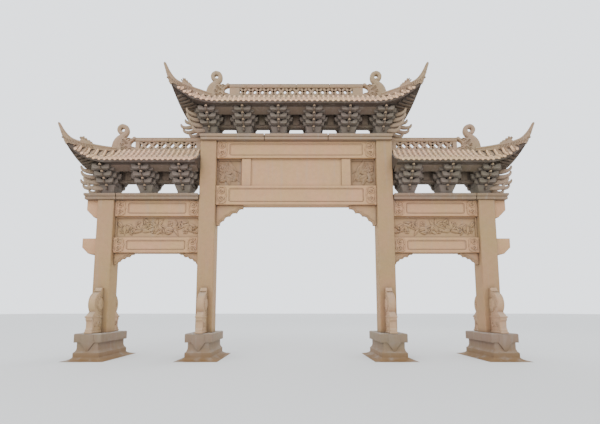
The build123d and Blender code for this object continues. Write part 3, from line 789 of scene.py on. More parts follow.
# Ridge beasts
BEAST_OUTLINE = (
    (0.004, 0.0), (0.004, 0.13), (0.05, 0.165), (0.13, 0.185), (0.185, 0.25), (0.17, 0.33), (0.1, 0.385),
    (0.03, 0.41), (0.0, 0.46), (0.012, 0.515), (0.05, 0.535), (0.1, 0.525), (0.13, 0.49), (0.2, 0.475),
    (0.27, 0.48), (0.33, 0.5), (0.4, 0.5), (0.5, 0.56), (0.6, 0.54), (0.7, 0.47), (0.775, 0.37),
    (0.82, 0.22), (0.84, 0.05), (0.83, -0.1), (0.7, -0.1), (0.6, -0.03),
)
BEAST_NECK = ((0.68, 0.12), (0.675, 0.3), (0.6, 0.44), (0.49, 0.545), (0.395, 0.635), (0.345, 0.71),
              (0.337, 0.79), (0.38, 0.89))
BEAST_TAIL = (0.475, 0.79)
BEAST_TAIL_RADIUS = 0.14
BEAST_NECK_SIZES = ((0.0, 0.14), (0.09, 0.14), (0.17, 0.13), (0.26, 0.11), (0.35, 0.095), (0.43, 0.085),
                    (0.52, 0.078), (0.7, 0.078), (1.0, 0.062))
BEAST_NECK_HALF = 0.085
BEAST_HALF = 0.075
BEAST_CURLS = (
    ((0.42, 0.4), 0.075, 200, 1.4), ((0.48, 0.26), 0.075, 160, 1.4), ((0.46, 0.12), 0.07, 120, 1.3),
    ((0.33, 0.3), 0.06, 220, -1.3), ((0.33, 0.14), 0.06, 180, -1.3), ((0.2, 0.1), 0.05, 150, 1.3),
)
BEAST_BROW = ((0.15, 0.42), (0.2, 0.465), (0.28, 0.46), (0.34, 0.42))
BEAST_JAW = ((0.03, 0.14), (0.12, 0.155), (0.2, 0.2), (0.225, 0.3))
BEAST_TO_HIP = 0.575


def ridge_beast(roof):
    """A beast that bites the ridge's end, with a mane, a smooth neck and a curled tail."""
    y = -BEAST_HALF
    outline = smooth_line(BEAST_OUTLINE, 4, closed=True)
    carving = Shape()
    for centre, radius, turn, turns in BEAST_CURLS:
        curl = spiral(centre, radius, 0.012, math.radians(turn), turns, 20)
        carving.add(bead(on_face(curl, y), 0.026, 0.024, -BACK))
    carving.add(dome((0.235, y, 0.4), 0.034, 0.035, -BACK))
    carving.add(bead(on_face(smooth_line(BEAST_BROW, 4), y), 0.035, 0.03, -BACK, True))
    carving.add(dome((0.07, y, 0.44), 0.03, 0.026, -BACK))
    carving.add(bead(on_face(smooth_line(BEAST_JAW, 4), y), 0.028, 0.022, -BACK, True))
    curl = spiral(BEAST_TAIL, BEAST_TAIL_RADIUS, BEAST_TAIL_RADIUS - 0.02, math.radians(85), -0.52, 18)
    line = on_face(smooth_line([*BEAST_NECK, curl[0]], 5) + curl[1:], 0)
    section = [(u, math.copysign(abs(v) ** 0.6, v)) for u, v in circle(12)]
    last = len(line) - 1
    rings = []
    for step, (point, along) in enumerate(zip(line, tangents(line))):
        size = value_along(BEAST_NECK_SIZES, step / last)
        across = along.cross(BACK)
        rings.append([point + across * (size * u) + BACK * (BEAST_NECK_HALF * v) for u, v in section])
    shape = Shape().add(plate_of(outline, BEAST_HALF, 0.028, 3))
    shape.add(front_and_back(carving)).add(loft(rings))
    start = Vector((roof.hip_x - BEAST_TO_HIP, 0, roof.ridge_z))
    return Shape().add(shape, Matrix.Translation(start))


for place, roof in (("centre", centre_roof), ("side", side_roof)):
    place_pair(ridge_beast(roof), f"{place}_beast_carved", ridge_stone, [f"{place}_ridge_beast"])


# Stones whose shape the CAD nodes give, with worn edges
def worn_copy(node, width, material):
    """A copy of a CAD node whose sharp edges are worn round."""
    work = bmesh.new()
    work.from_mesh(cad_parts[node].data)
    bmesh.ops.remove_doubles(work, verts=work.verts, dist=1e-5)
    bmesh.ops.dissolve_limit(work, angle_limit=math.radians(1), verts=work.verts, edges=work.edges)
    sharp = [e for e in work.edges if len(e.link_faces) == 2 and e.calc_face_angle(0) > math.radians(28)]
    bmesh.ops.bevel(
        work, geom=sharp, offset=width, segments=2, affect="EDGES", clamp_overlap=True, profile=0.6
    )
    mesh = bpy.data.meshes.new(node)
    work.to_mesh(mesh)
    work.free()
    shape = Shape().add(
        ([vert.co.copy() for vert in mesh.vertices], [list(face.vertices) for face in mesh.polygons])
    )
    bpy.data.meshes.remove(mesh)
    place_piece(shape, f"{node}_stone", material, [node], smooth_angle=50)


for name, width, material in (
    ("inner_column", 0.012, column_stone),
    ("outer_column", 0.012, column_stone),
    ("inner_plinth", 0.018, plinth_stone),
    ("outer_plinth", 0.018, plinth_stone),
    ("inner_drum_stones", 0.012, drum_stone),
    ("outer_drum_stones", 0.012, drum_stone),
    ("beam_ends", 0.012, beam_stone),
    ("plaque_stile", 0.008, beam_stone),
    ("side_lower_beam", 0.01, beam_stone),
    ("side_upper_beam", 0.01, beam_stone),
    ("square_panel", 0.006, square_stone),
    ("side_panel", 0.006, panel_stone),
    ("centre_corner_bracket", 0.01, panel_stone),
    ("side_corner_brackets", 0.01, panel_stone),
):
    for side in ("left", "right"):
        worn_copy(f"{side}_{name}", width, material)
for name, width, material in (
    ("centre_lower_beam", 0.01, beam_stone),
    ("centre_upper_beam", 0.01, beam_stone),
    ("name_plaque", 0.006, beam_stone),
):
    worn_copy(name, width, material)


# Bracket sets
CENTRE_SET_SPACING = 1.178
SIDE_SET_SPACING = 1.263
SIDE_OUTER_SET_X = 6.289
SET_BASE_HALF = 0.19
SET_BASE_HEIGHT = 0.13
SET_TIERS = 4
SET_BLOCK_TOP = (0.275, 0.3)
SET_DEPTHS = (0.31, 0.74)
SET_LAYER_HALVES = (0.275, 0.375, 0.465)
SET_TIER_LIMITS = (0.3, 0.35, 0.465, 0.475)
ARM_THICKNESS = 0.09
ARM_ROUND = 0.075
ARM_CORNER = ((1, 0), (0.5, 0.1), (0.15, 0.42), (0, 0.95))
ARM_NOTCH = (0.055, 0.165, 0.075)
ARM_GAP = 0.018
CORE_INSET = 0.07
CLAW_ROOT = 0.15
CLAW_DIAGONAL_REACHES = (0.7, 0.83, 0.91, 0.93)
CLAW_STRAIGHT_REACHES = (0.74, 0.95, 1.04, 0.9)
CLAW_TOP_TIP = 0.1
CLAW_TIP_STEP = 0.172
CLAW_HALF_WIDTH = 0.078
CLAW_HALF_HEIGHT = 0.09
CLAW_STRAIGHT_DROP = 0.04
CLAW_HOOK = ((0.74, 0), (0.9, 0.012), (0.975, 0.06), (1, 0.12))
NOSE_LINE = ((-0.05, 0.2), (0.015, 0.16), (0.045, 0.4), (0.04, 0.9))
NOSE_SIZE = (0.032, 0.034)
KNOB_RADIUS = 0.042
KNOB_HEIGHT = 0.05
ROW_BEAM_HALF = 0.07
CENTRE_ROW_BEAM_GAP = 0.34
SIDE_ROW_BEAM_GAP = 0.436
ROW_SILL_HEIGHT = 0.1
ROW_SILL_HALF = 0.1
ROW_BOARD_HALF = 0.11
ROW_BOARD_DEPTH = 0.13
SOFFIT_PROFILE = ((0.68, 0.01), (0.68, -0.02), (0.46, -0.14), (0.42, -0.14), (0.42, -0.11), (0.46, -0.1))
SOFFIT_OVERHANG = 0.3


def arm_outline(half, height, notched):
    """The outline of an arm: upright sides, round lower corners and two dark notches."""
    near, far, deep = ARM_NOTCH
    right = [(half - ARM_ROUND * u, ARM_ROUND * v) for u, v in ARM_CORNER]
    right.append((half + 0.006, height))
    if notched:
        right += [(far, height), (near + 0.02, height - deep), (near, height)]
    return right + [(-x, z) for x, z in reversed(right)]


def tier_sizes(foot_z, top_z):
    """Bottom and half depth of each tier, and a tier's height."""
    height = (top_z - foot_z - SET_BASE_HEIGHT) / SET_TIERS
    near, far = SET_DEPTHS
    tiers = [(foot_z + SET_BASE_HEIGHT + tier * height, near + (far - near) * tier / (SET_TIERS - 1))
             for tier in range(SET_TIERS)]
    return tiers, height


def bracket_arms(foot_z, top_z):
    """The block and the arms of one set at X = 0; each tier's arms line up over the tiers below."""
    tiers, height = tier_sizes(foot_z, top_z)
    base = SET_BASE_HALF
    block_top = foot_z + SET_BASE_HEIGHT + height
    shape = Shape().add(stack((
        (base - 0.01, base - 0.01, foot_z),
        (base, base, foot_z + 0.012),
        (base + 0.012, base + 0.012, foot_z + 0.09),
        (*SET_BLOCK_TOP, block_top - ARM_GAP),
        (SET_BLOCK_TOP[0] - 0.01, SET_BLOCK_TOP[1] - 0.01, block_top),
    )))
    half_front = Shape()
    for tier, (bottom, depth) in enumerate(tiers):
        if tier == 0:
            continue
        for layer, half in enumerate(SET_LAYER_HALVES[:tier + 1]):
            y = tiers[tier - layer][1]
            outline = arm_outline(min(half, SET_TIER_LIMITS[tier]), height - ARM_GAP, layer == 0)
            arm = plate_of(outline, ARM_THICKNESS / 2, 0.008, 1)
            half_front.add(arm, Matrix.Translation((0, -y + ARM_THICKNESS / 2, bottom + ARM_GAP)))
        inner = depth - ARM_THICKNESS * 0.6
        narrow = SET_LAYER_HALVES[0] - CORE_INSET
        half_front.add(block(narrow, inner / 2, bottom + 0.004, bottom + height - ARM_NOTCH[2],
                             (0, -inner / 2)))
        wide = SET_TIER_LIMITS[tier] - CORE_INSET
        wide_depth = tiers[max(0, tier - 2)][1] - ARM_THICKNESS / 2
        half_front.add(block(wide, wide_depth / 2, bottom, bottom + height, (0, -wide_depth / 2)))
    return shape.add(front_and_back(half_front))


def tusk(points, width, height, tip):
    """A tapering tusk along points, with a round end."""
    line = smooth_line(points, 4)
    last = len(line) - 1
    sizes = [1 - (1 - tip) * (index / last) ** 1.4 for index in range(last + 1)]
    shape = Shape().add(sweep(line, [(width * u, height * v) for u, v in circle(8)], UP, sizes))
    end = (line[-1] - line[-2]).normalized()
    return shape.add(dome(line[-1] - end * height * 0.05, height * tip, height * tip, end, 8))


def bracket_noses(foot_z, top_z):
    """The beaks that stand out from the middle of each front arm, and the knobs at their tips."""
    tiers, height = tier_sizes(foot_z, top_z)
    beaks, knobs = Shape(), Shape()
    for tier, (bottom, depth) in enumerate(tiers):
        root = depth if tier else SET_BLOCK_TOP[1] - 0.03
        line = [(0, -root - out, bottom + height * rise) for out, rise in NOSE_LINE]
        beaks.add(tusk(line, *NOSE_SIZE, 0.85))
        knob = (0, -root - 0.03, bottom + height * 0.84)
        knobs.add(dome(knob, KNOB_RADIUS, KNOB_HEIGHT, Vector((0, -1, 0.1)), 10))
    return front_and_back(beaks), front_and_back(knobs)


def corner_claws(foot_z, top_z):
    """Claws of a corner set, to its end and along both diagonals: they dip and then turn up."""
    tiers, height = tier_sizes(foot_z, top_z)
    shape = Shape()
    for turn in (-45, 0, 45):
        reaches = CLAW_DIAGONAL_REACHES if turn else CLAW_STRAIGHT_REACHES
        for tier, ((bottom, _), reach) in enumerate(zip(tiers, reaches)):
            root = bottom + 0.5 * height
            drop = 0 if turn else CLAW_STRAIGHT_DROP
            tip = top_z - CLAW_TOP_TIP - drop - CLAW_TIP_STEP * (SET_TIERS - 1 - tier)
            belly = max(tip - 0.075, foot_z + CLAW_HALF_HEIGHT * 0.7)
            line = [(CLAW_ROOT, 0, root), (reach * 0.48, 0, (root + belly) / 2)]
            line += [(reach * share, 0, belly + rise) for share, rise in CLAW_HOOK]
            claw = tusk(line, CLAW_HALF_WIDTH, CLAW_HALF_HEIGHT, 0.34)
            shape.add(claw, Matrix.Rotation(math.radians(turn), 4, "Z"))
    return shape


def row_boards(set_xs, inner_x, foot_z, eave_z, beam_gap):
    """The beam, boards and sloping soffit between the sets, front and back."""
    middle, half = (inner_x + set_xs[-1]) / 2, (set_xs[-1] - inner_x) / 2
    sill = foot_z + beam_gap
    shape = Shape()
    shape.add(block(half, ROW_BEAM_HALF, sill + 0.02, eave_z, (middle, 0)))
    shape.add(block(half, ROW_SILL_HALF, sill, sill + ROW_SILL_HEIGHT, (middle, 0)))
    gaps = [(a + b) / 2 for a, b in zip(set_xs, set_xs[1:])]
    if inner_x == 0:
        gaps.append(0)
    for x in gaps:
        shape.add(block(ROW_BOARD_HALF, ROW_BOARD_DEPTH, sill + 0.08, eave_z, (x, 0)))
    ends = (inner_x, set_xs[-1] + SOFFIT_OVERHANG)
    rings = [[Vector((x, -y, eave_z + z)) for y, z in SOFFIT_PROFILE] for x in ends]
    return shape.add(front_and_back(Shape().add(loft(rings))))


def bracket_row(name, plate, roof, set_xs, inner_x, beam_gap, place, mirrored):
    """All sets of a row, the beam behind them and the boards between them."""
    foot_z, top_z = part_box(plate)[1].z, roof.eave_z
    arms = bracket_arms(foot_z, top_z)
    beaks, knobs = bracket_noses(foot_z, top_z)
    claws = Shape().add(corner_claws(foot_z, top_z), Matrix.Translation((set_xs[-1], 0, 0)))
    all_arms, all_knobs, noses = Shape(), Shape(), Shape()
    for x in set_xs:
        moved = Matrix.Translation((x, 0, 0))
        all_arms.add(arms, moved)
        noses.add(beaks, moved)
        all_knobs.add(knobs, moved)
    boards = row_boards(set_xs, inner_x, foot_z, top_z, beam_gap).add(noses)
    pieces = ((all_arms, "arms", shaded_bracket_stone), (all_knobs, "knobs", highlight_nose_stone),
              (claws, "claws", lit_claw_stone), (boards, "boards", shaded_soffit_stone))
    for shape, part, material in pieces:
        replaced = [name] if part == "arms" else []
        if mirrored:
            place(Shape().add(shape).add(shape, MIRROR_X), f"{name}_{part}", material, replaced)
        else:
            place(shape, f"{name}_{part}", material, replaced)


bracket_row("centre_bracket_sets", "centre_top_plate", centre_roof,
            [CENTRE_SET_SPACING * (number + 0.5) for number in range(3)], 0, CENTRE_ROW_BEAM_GAP,
            place_piece, True)
bracket_row("side_bracket_sets", "right_side_top_plate", side_roof,
            [SIDE_OUTER_SET_X - SIDE_SET_SPACING * number for number in (2, 1, 0)],
            side_roof.inner_x, SIDE_ROW_BEAM_GAP, place_pair, False)


# Top plates
PLATE_COURSES = ((0.05, 0.0), (0.034, 0.012), (0.03, 0.42), (0.045, 0.45), (0.045, 0.5), (0.02, 0.52),
                 (0.004, 0.66), (0.0, 0.72), (0.0, 0.94), (0.014, 1.0))
PLATE_JOINT = 0.026
CENTRE_PLATE_JOINTS = (-1.07, 1.07)
SIDE_PLATE_JOINTS = (5.95,)


def top_plate(node, cuts, closed_ends):
    """A moulded plate in blocks, cut at the given places along X."""
    low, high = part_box(node)
    places = [low.x, *cuts, high.x]
    shape = Shape()
    for index, (start, end) in enumerate(zip(places, places[1:])):
        first, last = index == 0 and closed_ends[0], index == len(places) - 2 and closed_ends[1]
        rings = []
        for inset, rise in PLATE_COURSES:
            worn = 0.01 if rise in (0.0, 1.0) else 0
            x0 = start + (inset if first else PLATE_JOINT / 2 + worn)
            x1 = end - (inset if last else PLATE_JOINT / 2 + worn)
            z = low.z + (high.z - low.z) * rise
            y = high.y - inset
            rings.append([Vector((x0, -y, z)), Vector((x1, -y, z)), Vector((x1, y, z)), Vector((x0, y, z))])
        shape.add(loft(rings))
    core_x = (high.x - low.x) / 2 - 0.06
    middle = ((low.x + high.x) / 2, 0)
    return shape.add(block(core_x, high.y - 0.12, low.z + 0.01, high.z - 0.002, middle))


place_piece(top_plate("centre_top_plate", CENTRE_PLATE_JOINTS, (True, True)), "centre_top_plate_moulded",
            plate_stone, ["centre_top_plate"])
place_pair(top_plate("right_side_top_plate", SIDE_PLATE_JOINTS, (False, True)), "side_top_plate_moulded",
           side_plate_stone, ["side_top_plate"])


# Carving on the beams
FIELD_END_MARGIN = 0.43
FIELD_EDGE_MARGIN = 0.085
FIELD_SINK = 0.015
BORDER_INSET = 0.03
BORDER_CUT = 0.035
BEAM_CURL_MIDDLE = (0.175, 0.205)
BEAM_CURL_TAIL = ((0.1, 0.4), (0.22, 0.43), (0.32, 0.33), (0.33, 0.12), (0.36, 0.0))
BEAM_END_LINE = ((0.06, 0.0), (0.055, 0.2), (0.07, 0.34))


def cut_rectangle(x0, x1, z0, z1, cut):
    """Corners of a closed rectangle (across, up) whose own corners are cut and slightly hollow."""
    near = cut * 0.3
    return [(x0, z0 + cut), (x0 + near, z0 + near), (x0 + cut, z0),
            (x1 - cut, z0), (x1 - near, z0 + near), (x1, z0 + cut),
            (x1, z1 - cut), (x1 - near, z1 - near), (x1 - cut, z1),
            (x0 + cut, z1), (x0 + near, z1 - near), (x0, z1 - cut), (x0, z0 + cut)]


def beam_carving(node):
    """A raised line round the long field, and a pair of scrolls at each end."""
    low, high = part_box(node)
    middle_z, height = (low.z + high.z) / 2, high.z - low.z
    shape = Shape()
    x0, x1 = low.x + FIELD_END_MARGIN + BORDER_INSET, high.x - FIELD_END_MARGIN - BORDER_INSET
    z0, z1 = low.z + FIELD_EDGE_MARGIN + BORDER_INSET, high.z - FIELD_EDGE_MARGIN - BORDER_INSET
    border = cut_rectangle(x0, x1, z0, z1, BORDER_CUT)
    shape.add(bead(on_face(border, low.y + FIELD_SINK), 0.022, 0.016, -BACK))
    for end, inward in ((low.x, 1), (high.x, -1)):
        for side in (1, -1):
            def drawn(points):
                return on_face([(end + inward * u, middle_z + side * height * v) for u, v in points], low.y)

            middle_u, middle_v = BEAM_CURL_MIDDLE
            turned = spiral((0, 0), 0.01, height * 0.15, math.radians(250), 1.3, 24)
            curl = [(middle_u + p.x, middle_v + p.y / height) for p in turned]
            tail = smooth_line([curl[-1], *BEAM_CURL_TAIL], 5)
            shape.add(bead(drawn(curl + [(p.x, p.y) for p in tail[1:]]), 0.04, 0.028, -BACK))
            inner = smooth_line(BEAM_END_LINE, 4)
            shape.add(bead(drawn([(p.x, p.y) for p in inner]), 0.03, 0.02, -BACK, True))
    return front_and_back(shape)


for name in ("centre_lower_beam", "centre_upper_beam"):
    place_piece(beam_carving(name), f"{name}_carving", beam_stone)
for name in ("side_lower_beam", "side_upper_beam"):
    place_pair(beam_carving(f"right_{name}"), f"{name}_carving", beam_stone)


# Relief panels
VINE_SPRAYS = ((0, 0, 0.5, 7), (1 / 4, 0.2, 0.42, 6), (-1 / 8, -0.3, 0.3, 5))


def vine_relief(x_range, z_range, y, waves):
    """A winding stem with long leaves, buds and flowers on the face at Y."""
    shape = Shape()
    length, height = x_range[1] - x_range[0], z_range[1] - z_range[0]
    middle_z = sum(z_range) / 2
    swing = height * 0.14

    def stem(share):
        wave = math.sin(2 * math.pi * waves * share)
        return Vector((x_range[0] + length * share, middle_z + swing * wave))

    def spray(spot, size, start_turn, count):
        for number in range(count):
            turn = start_turn + 2 * math.pi * (number + DRAW.uniform(-0.15, 0.15)) / count
            reach = size * DRAW.uniform(0.85, 1.15)
            direction = Vector((math.cos(turn), math.sin(turn)))
            tip = spot + direction * reach
            if z_range[0] < tip.y < z_range[1] and x_range[0] < tip.x < x_range[1]:
                bend = DRAW.choice((-0.55, 0.55))
                shape.add(leaf(spot, direction, reach, reach * 0.4, 0.05, y, bend))

    points = [stem(step / (waves * 12)) for step in range(round(waves * 12) + 1)]
    shape.add(bead(on_face(points, y), 0.05, 0.03, -BACK, True))
    for index in range(round(waves * 2)):
        share = (index + 0.5) / (waves * 2)
        side = 1 if index % 2 == 0 else -1
        root = stem(share)
        head = root + Vector((length / (waves * 8), -side * height * 0.36))
        shape.add(flower(head, height * 0.19, 0.05, y, 5 + index % 2))
        for along, up, size, count in VINE_SPRAYS:
            spot = root + Vector((length * along / waves, side * height * up))
            spray(spot, height * size, DRAW.random(), count)
    return shape


PANEL_FRAME = 0.045
PANEL_SINK = 0.05
PANEL_MARGIN = 0.04


def panel_carving(node, waves):
    """The relief in a panel's sunk field, front and back."""
    low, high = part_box(node)
    inset = PANEL_FRAME + PANEL_MARGIN
    x_range, z_range = (low.x + inset, high.x - inset), (low.z + inset, high.z - inset)
    return front_and_back(vine_relief(x_range, z_range, low.y + PANEL_SINK, waves))


place_pair(panel_carving("right_side_panel", 2.5), "side_panel_carving", panel_stone)
place_pair(panel_carving("right_square_panel", 1), "square_panel_carving", square_stone)


def rectangle(x_range, z_range):
    """Corners of a closed rectangle (across, up)."""
    return [(x_range[0], z_range[0]), (x_range[1], z_range[0]), (x_range[1], z_range[1]),
            (x_range[0], z_range[1]), (x_range[0], z_range[0])]


# Corner brackets: a rim along the lobes
BRACKET_LOBES = ((1.0, 0.14), (0.76, 0.36), (0.5, 0.52), (0.27, 0.74), (0.12, 1.0))
RIM_SHARES = (0.06, 0.3, 0.5, 0.7, 0.94)
SIDE_BRACKET_LENGTH = 0.63


def corner_carving(corner_x, direction, top, length, drop, y):
    """The rim of one corner bracket, on the face at Y."""
    rim = []
    for (start_along, start_down), (end_along, end_down) in zip(BRACKET_LOBES, BRACKET_LOBES[1:]):
        chord = Vector(((end_along - start_along) * length * direction, (start_down - end_down) * drop))
        outward = Vector((-chord.y, chord.x)) * -direction * 0.2
        base = Vector((corner_x + direction * start_along * length, top - start_down * drop))
        for share in RIM_SHARES:
            point = base + chord * share + outward * math.sin(math.pi * share)
            rim.append(point + Vector((-direction * 0.02, 0.035)))
    return Shape().add(bead(on_face(rim, y), 0.02, 0.014, -BACK))


low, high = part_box("right_centre_corner_bracket")
place_pair(front_and_back(corner_carving(high.x, -1, high.z, high.x - low.x, high.z - low.z, low.y)),
           "centre_corner_bracket_carving", panel_stone)
low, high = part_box("right_side_corner_brackets")
side_corners = Shape()
for corner_x, direction in ((low.x, 1), (high.x, -1)):
    rim = corner_carving(corner_x, direction, high.z, SIDE_BRACKET_LENGTH, high.z - low.z, low.y)
    side_corners.add(rim)
place_pair(front_and_back(side_corners), "side_corner_brackets_carving", panel_stone)


# Drum stones
DRUM_CENTRE = (-0.37, 1.7)
DRUM_RADIUS = 0.38
DRUM_HALF = 0.1
PEDESTAL_Y = (-0.76, -0.3)
PEDESTAL_Z = (0.84, 1.28)
PEDESTAL_SCROLLS = (((-0.64, 1.06), 0, 1.5), ((-0.42, 1.06), 180, -1.5))
PEDESTAL_MIDDLE_Y = -0.56
PEDESTAL_CAP = ((0.112, 0.29, 1.275), (0.12, 0.298, 1.29), (0.12, 0.298, 1.315), (0.108, 0.286, 1.325))
PEDESTAL_FOOT = ((0.112, 0.29, 0.805), (0.118, 0.296, 0.82), (0.118, 0.296, 0.85), (0.104, 0.282, 0.865))
DRUM_RING = 0.235
DRUM_NAIL_RING = 0.305
DRUM_NAILS = 26


def hoop(radius, size, x):
    """A round hoop about the drum's centre, in the plane at X."""
    turns = [2 * math.pi * step / 40 for step in range(41)]
    y, z = DRUM_CENTRE
    line = [(x, y + radius * math.cos(turn), z + radius * math.sin(turn)) for turn in turns]
    return sweep(line, [(size * u, size * v) for u, v in circle(8)], Vector((1, 0, 0)))


def drum_face():
    """The carving of one face of a front drum stone, drawn across Y."""
    y = -DRUM_HALF
    shape = Shape()
    shape.add(flower(DRUM_CENTRE, 0.21, 0.034, y, 8))
    middle_u, middle_z = DRUM_CENTRE
    turns = [2 * math.pi * step / 32 for step in range(33)]
    ring = [(middle_u + DRUM_RING * math.cos(turn), middle_z + DRUM_RING * math.sin(turn))
            for turn in turns]
    shape.add(bead(on_face(ring, y), 0.028, 0.02, -BACK))
    for u, v in circle(DRUM_NAILS):
        spot = (middle_u + DRUM_NAIL_RING * u, y, middle_z + DRUM_NAIL_RING * v)
        shape.add(dome(spot, 0.018, 0.016, -BACK, 6))
    shape.add(bead(on_face(rectangle(PEDESTAL_Y, PEDESTAL_Z), y), 0.022, 0.012, -BACK))
    for centre, turn, count in PEDESTAL_SCROLLS:
        scroll = spiral(centre, 0.1, 0.012, math.radians(turn), count, 22)
        shape.add(bead(on_face(scroll, y), 0.03, 0.02, -BACK))
    shape.add(flower((-0.53, 1.06), 0.07, 0.026, y, 6))
    return shape


def drum_carving(column_x):
    """The carving of the two drum stones of a column, front and back."""
    turned = Matrix.Rotation(math.pi / 2, 4, "Z")
    face = drum_face()
    front = Shape().add(face, turned).add(face, MIRROR_X @ turned)
    for side in (1, -1):
        front.add(hoop(DRUM_RADIUS - 0.012, 0.02, side * (DRUM_HALF - 0.014)))
    for courses in (PEDESTAL_CAP, PEDESTAL_FOOT):
        front.add(stack(courses, (0, PEDESTAL_MIDDLE_Y)))
    front.add(bead([(-0.1, -0.46, 2.105), (0.1, -0.46, 2.105)], 0.03, 0.014, UP))
    return Shape().add(front_and_back(front), Matrix.Translation((column_x, 0, 0)))


for place in ("inner", "outer"):
    low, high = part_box(f"right_{place}_column")
    place_pair(drum_carving((low.x + high.x) / 2), f"{place}_drum_carving", drum_stone)


# Plinths: the cloth that hangs over the cap block
CLOTH = ((-0.22, 0.54), (-0.2, 0.52), (-0.04, 0.29), (0.04, 0.29), (0.2, 0.52), (0.22, 0.54))
CLOTH_TOP = 0.6
CLOTH_Y = (-0.8, -0.858)


def cloth(column_x):
    """The hanging corner of cloth on the front and the back of a plinth."""
    outline = [*CLOTH, (0.22, CLOTH_TOP), (-0.22, CLOTH_TOP)]
    rings = [[Vector((x * size, y, CLOTH_TOP + (z - CLOTH_TOP) * size)) for x, z in outline]
             for y, size in ((CLOTH_Y[0], 1), (CLOTH_Y[1] + 0.008, 1), (CLOTH_Y[1], 0.97))]
    return Shape().add(front_and_back(Shape().add(loft(rings))), Matrix.Translation((column_x, 0, 0)))


for place in ("inner", "outer"):
    low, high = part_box(f"right_{place}_column")
    place_pair(cloth((low.x + high.x) / 2), f"{place}_plinth_cloth", plinth_stone)


# Ridges: a base, crossing bars with sky between them, and a moulded cap with joints
RIDGE_BODY_HALF = 0.08
RIDGE_BASE = ((0.1, 0.0), (0.1, 0.03), (0.104, 0.04), (0.104, 0.055), (0.09, 0.065), (0.082, 0.09))
RIDGE_CAP = ((0.082, 0.34), (0.082, 0.346), (0.1, 0.366), (0.104, 0.372), (0.104, 0.385), (0.094, 0.392),
             (0.094, 0.452), (0.104, 0.46), (0.104, 0.472), (0.09, 0.48))
RIDGE_BARS = (0.09, 0.34)
CENTRE_RIDGE_SOLID = (0.355, 0.355)
SIDE_RIDGE_SOLID = (0.18, 0.14)
LATTICE_PITCH = 0.264
BAR_HALF = 0.034
BAR_DEPTH = 0.065
CAP_BLOCK = 1.15
CAP_JOINT = 0.012


def ridge(node, solid_ends):
    """A ridge with a moulded base and cap, and bars between its solid ends."""
    low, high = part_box(node)
    middle = ((low.x + high.x) / 2, 0)
    length = high.x - low.x
    shape = Shape().add(stack([(length / 2, half, low.z + rise) for half, rise in RIDGE_BASE], middle))
    blocks = round(length / CAP_BLOCK)
    for number in range(blocks):
        centre_x = low.x + length * (number + 0.5) / blocks
        half_x = length / blocks / 2 - CAP_JOINT / 2
        shape.add(stack([(half_x, half, low.z + rise) for half, rise in RIDGE_CAP], (centre_x, 0)))
        for side in (1, -1):
            shape.add(dome((centre_x, side * 0.094, low.z + 0.422), 0.034, 0.014, BACK * side, 8))
    shape.add(block(length / 2, 0.07, low.z + 0.35, low.z + 0.46, middle))
    bottom, top = (low.z + rise for rise in RIDGE_BARS)
    start, end = low.x + solid_ends[0], high.x - solid_ends[1]
    for x0, x1 in ((low.x, start), (end, high.x)):
        if x1 > x0:
            middle = ((x0 + x1) / 2, 0)
            shape.add(block((x1 - x0) / 2, RIDGE_BODY_HALF, bottom - 0.01, top + 0.01, middle))
    cells = round((end - start) / LATTICE_PITCH)
    pitch = (end - start) / cells
    section = [(BAR_HALF, -BAR_DEPTH), (BAR_HALF, BAR_DEPTH - 0.008), (BAR_HALF - 0.008, BAR_DEPTH),
               (0.008 - BAR_HALF, BAR_DEPTH), (-BAR_HALF, BAR_DEPTH - 0.008), (-BAR_HALF, -BAR_DEPTH)]
    for cell in range(cells):
        x0, x1 = start + pitch * cell, start + pitch * (cell + 1)
        for foot, head in ((x0, x1), (x1, x0)):
            middle = ((foot + head) / 2, 0, (bottom + top) / 2)
            bar = [(foot, 0, bottom - 0.02), middle, (head, 0, top + 0.02)]
            shape.add(sweep(bar, section, BACK))
    return shape


place_piece(ridge("centre_ridge", CENTRE_RIDGE_SOLID), "centre_ridge_carved", ridge_stone,
            ["centre_ridge"])
place_pair(ridge("right_side_ridge", SIDE_RIDGE_SOLID), "side_ridge_carved", ridge_stone, ["side_ridge"])


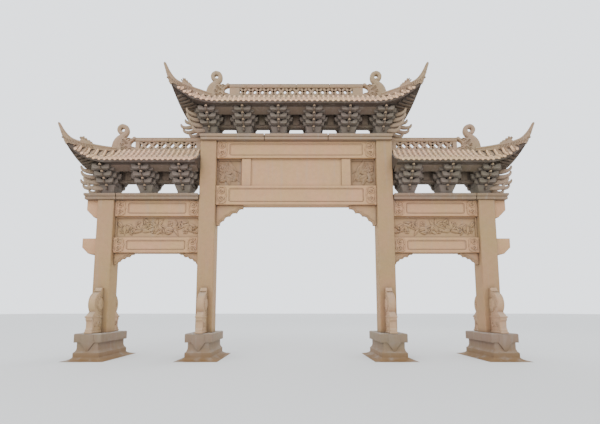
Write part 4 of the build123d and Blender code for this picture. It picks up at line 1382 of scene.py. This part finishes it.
# Stage, light and camera
def stage_material():
    """The pale, slightly uneven colour of the floor."""
    material = bpy.data.materials.new("pale_floor")
    material.use_nodes = True
    shader = material.node_tree.nodes["Principled BSDF"]
    noise = material.node_tree.nodes.new("ShaderNodeTexNoise")
    noise.inputs["Scale"].default_value = 0.4
    shade = material.node_tree.nodes.new("ShaderNodeMix")
    shade.data_type = "RGBA"
    shade.inputs[6].default_value = (0.56, 0.555, 0.54, 1)
    shade.inputs[7].default_value = (0.61, 0.605, 0.59, 1)
    material.node_tree.links.new(noise.outputs["Fac"], shade.inputs[0])
    material.node_tree.links.new(shade.outputs[2], shader.inputs["Base Color"])
    shader.inputs["Roughness"].default_value = 0.9
    return material


floor_mesh = bpy.data.meshes.new("floor")
floor_mesh.from_pydata([(-120, -60, 0), (120, -60, 0), (120, 160, 0), (-120, 160, 0)], [], [(0, 1, 2, 3)])
floor_mesh.materials.append(stage_material())
floor = new_object("floor", floor_mesh)

world = bpy.data.worlds.new("pale_sky")
bpy.context.scene.world = world
world.use_nodes = True
world.node_tree.nodes["Background"].inputs["Color"].default_value = (0.66, 0.69, 0.73, 1)
world.node_tree.nodes["Background"].inputs["Strength"].default_value = 3.1


def soft_light(name, place, target, size, power):
    """A round soft lamp that looks at a target."""
    light = bpy.data.lights.new(name, "AREA")
    light.shape = "DISK"
    light.size = size
    light.energy = power
    lamp = new_object(name, light)
    lamp.location = place
    lamp.rotation_euler = (Vector(target) - Vector(place)).to_track_quat("-Z", "Y").to_euler()


soft_light("front_sky", (-7, -16, 17), (0, 0, 5), 12, 1300)
soft_light("back_sky", (9, 15, 18), (0, 0, 5), 12, 800)

CAMERA_PLACE = (0, -12, 1.5)
CAMERA_PITCH = 6.29
CAMERA_LENS = 21.87
CAMERA_SHIFT = (0.0063, 0.097)
camera_data = bpy.data.cameras.new("camera")
camera_data.sensor_width = 36
camera_data.lens = CAMERA_LENS
camera_data.shift_x, camera_data.shift_y = CAMERA_SHIFT
camera = new_object("camera", camera_data)
camera.location = CAMERA_PLACE
camera.rotation_euler = (math.radians(90 + CAMERA_PITCH), 0, 0)
bpy.context.scene.camera = camera
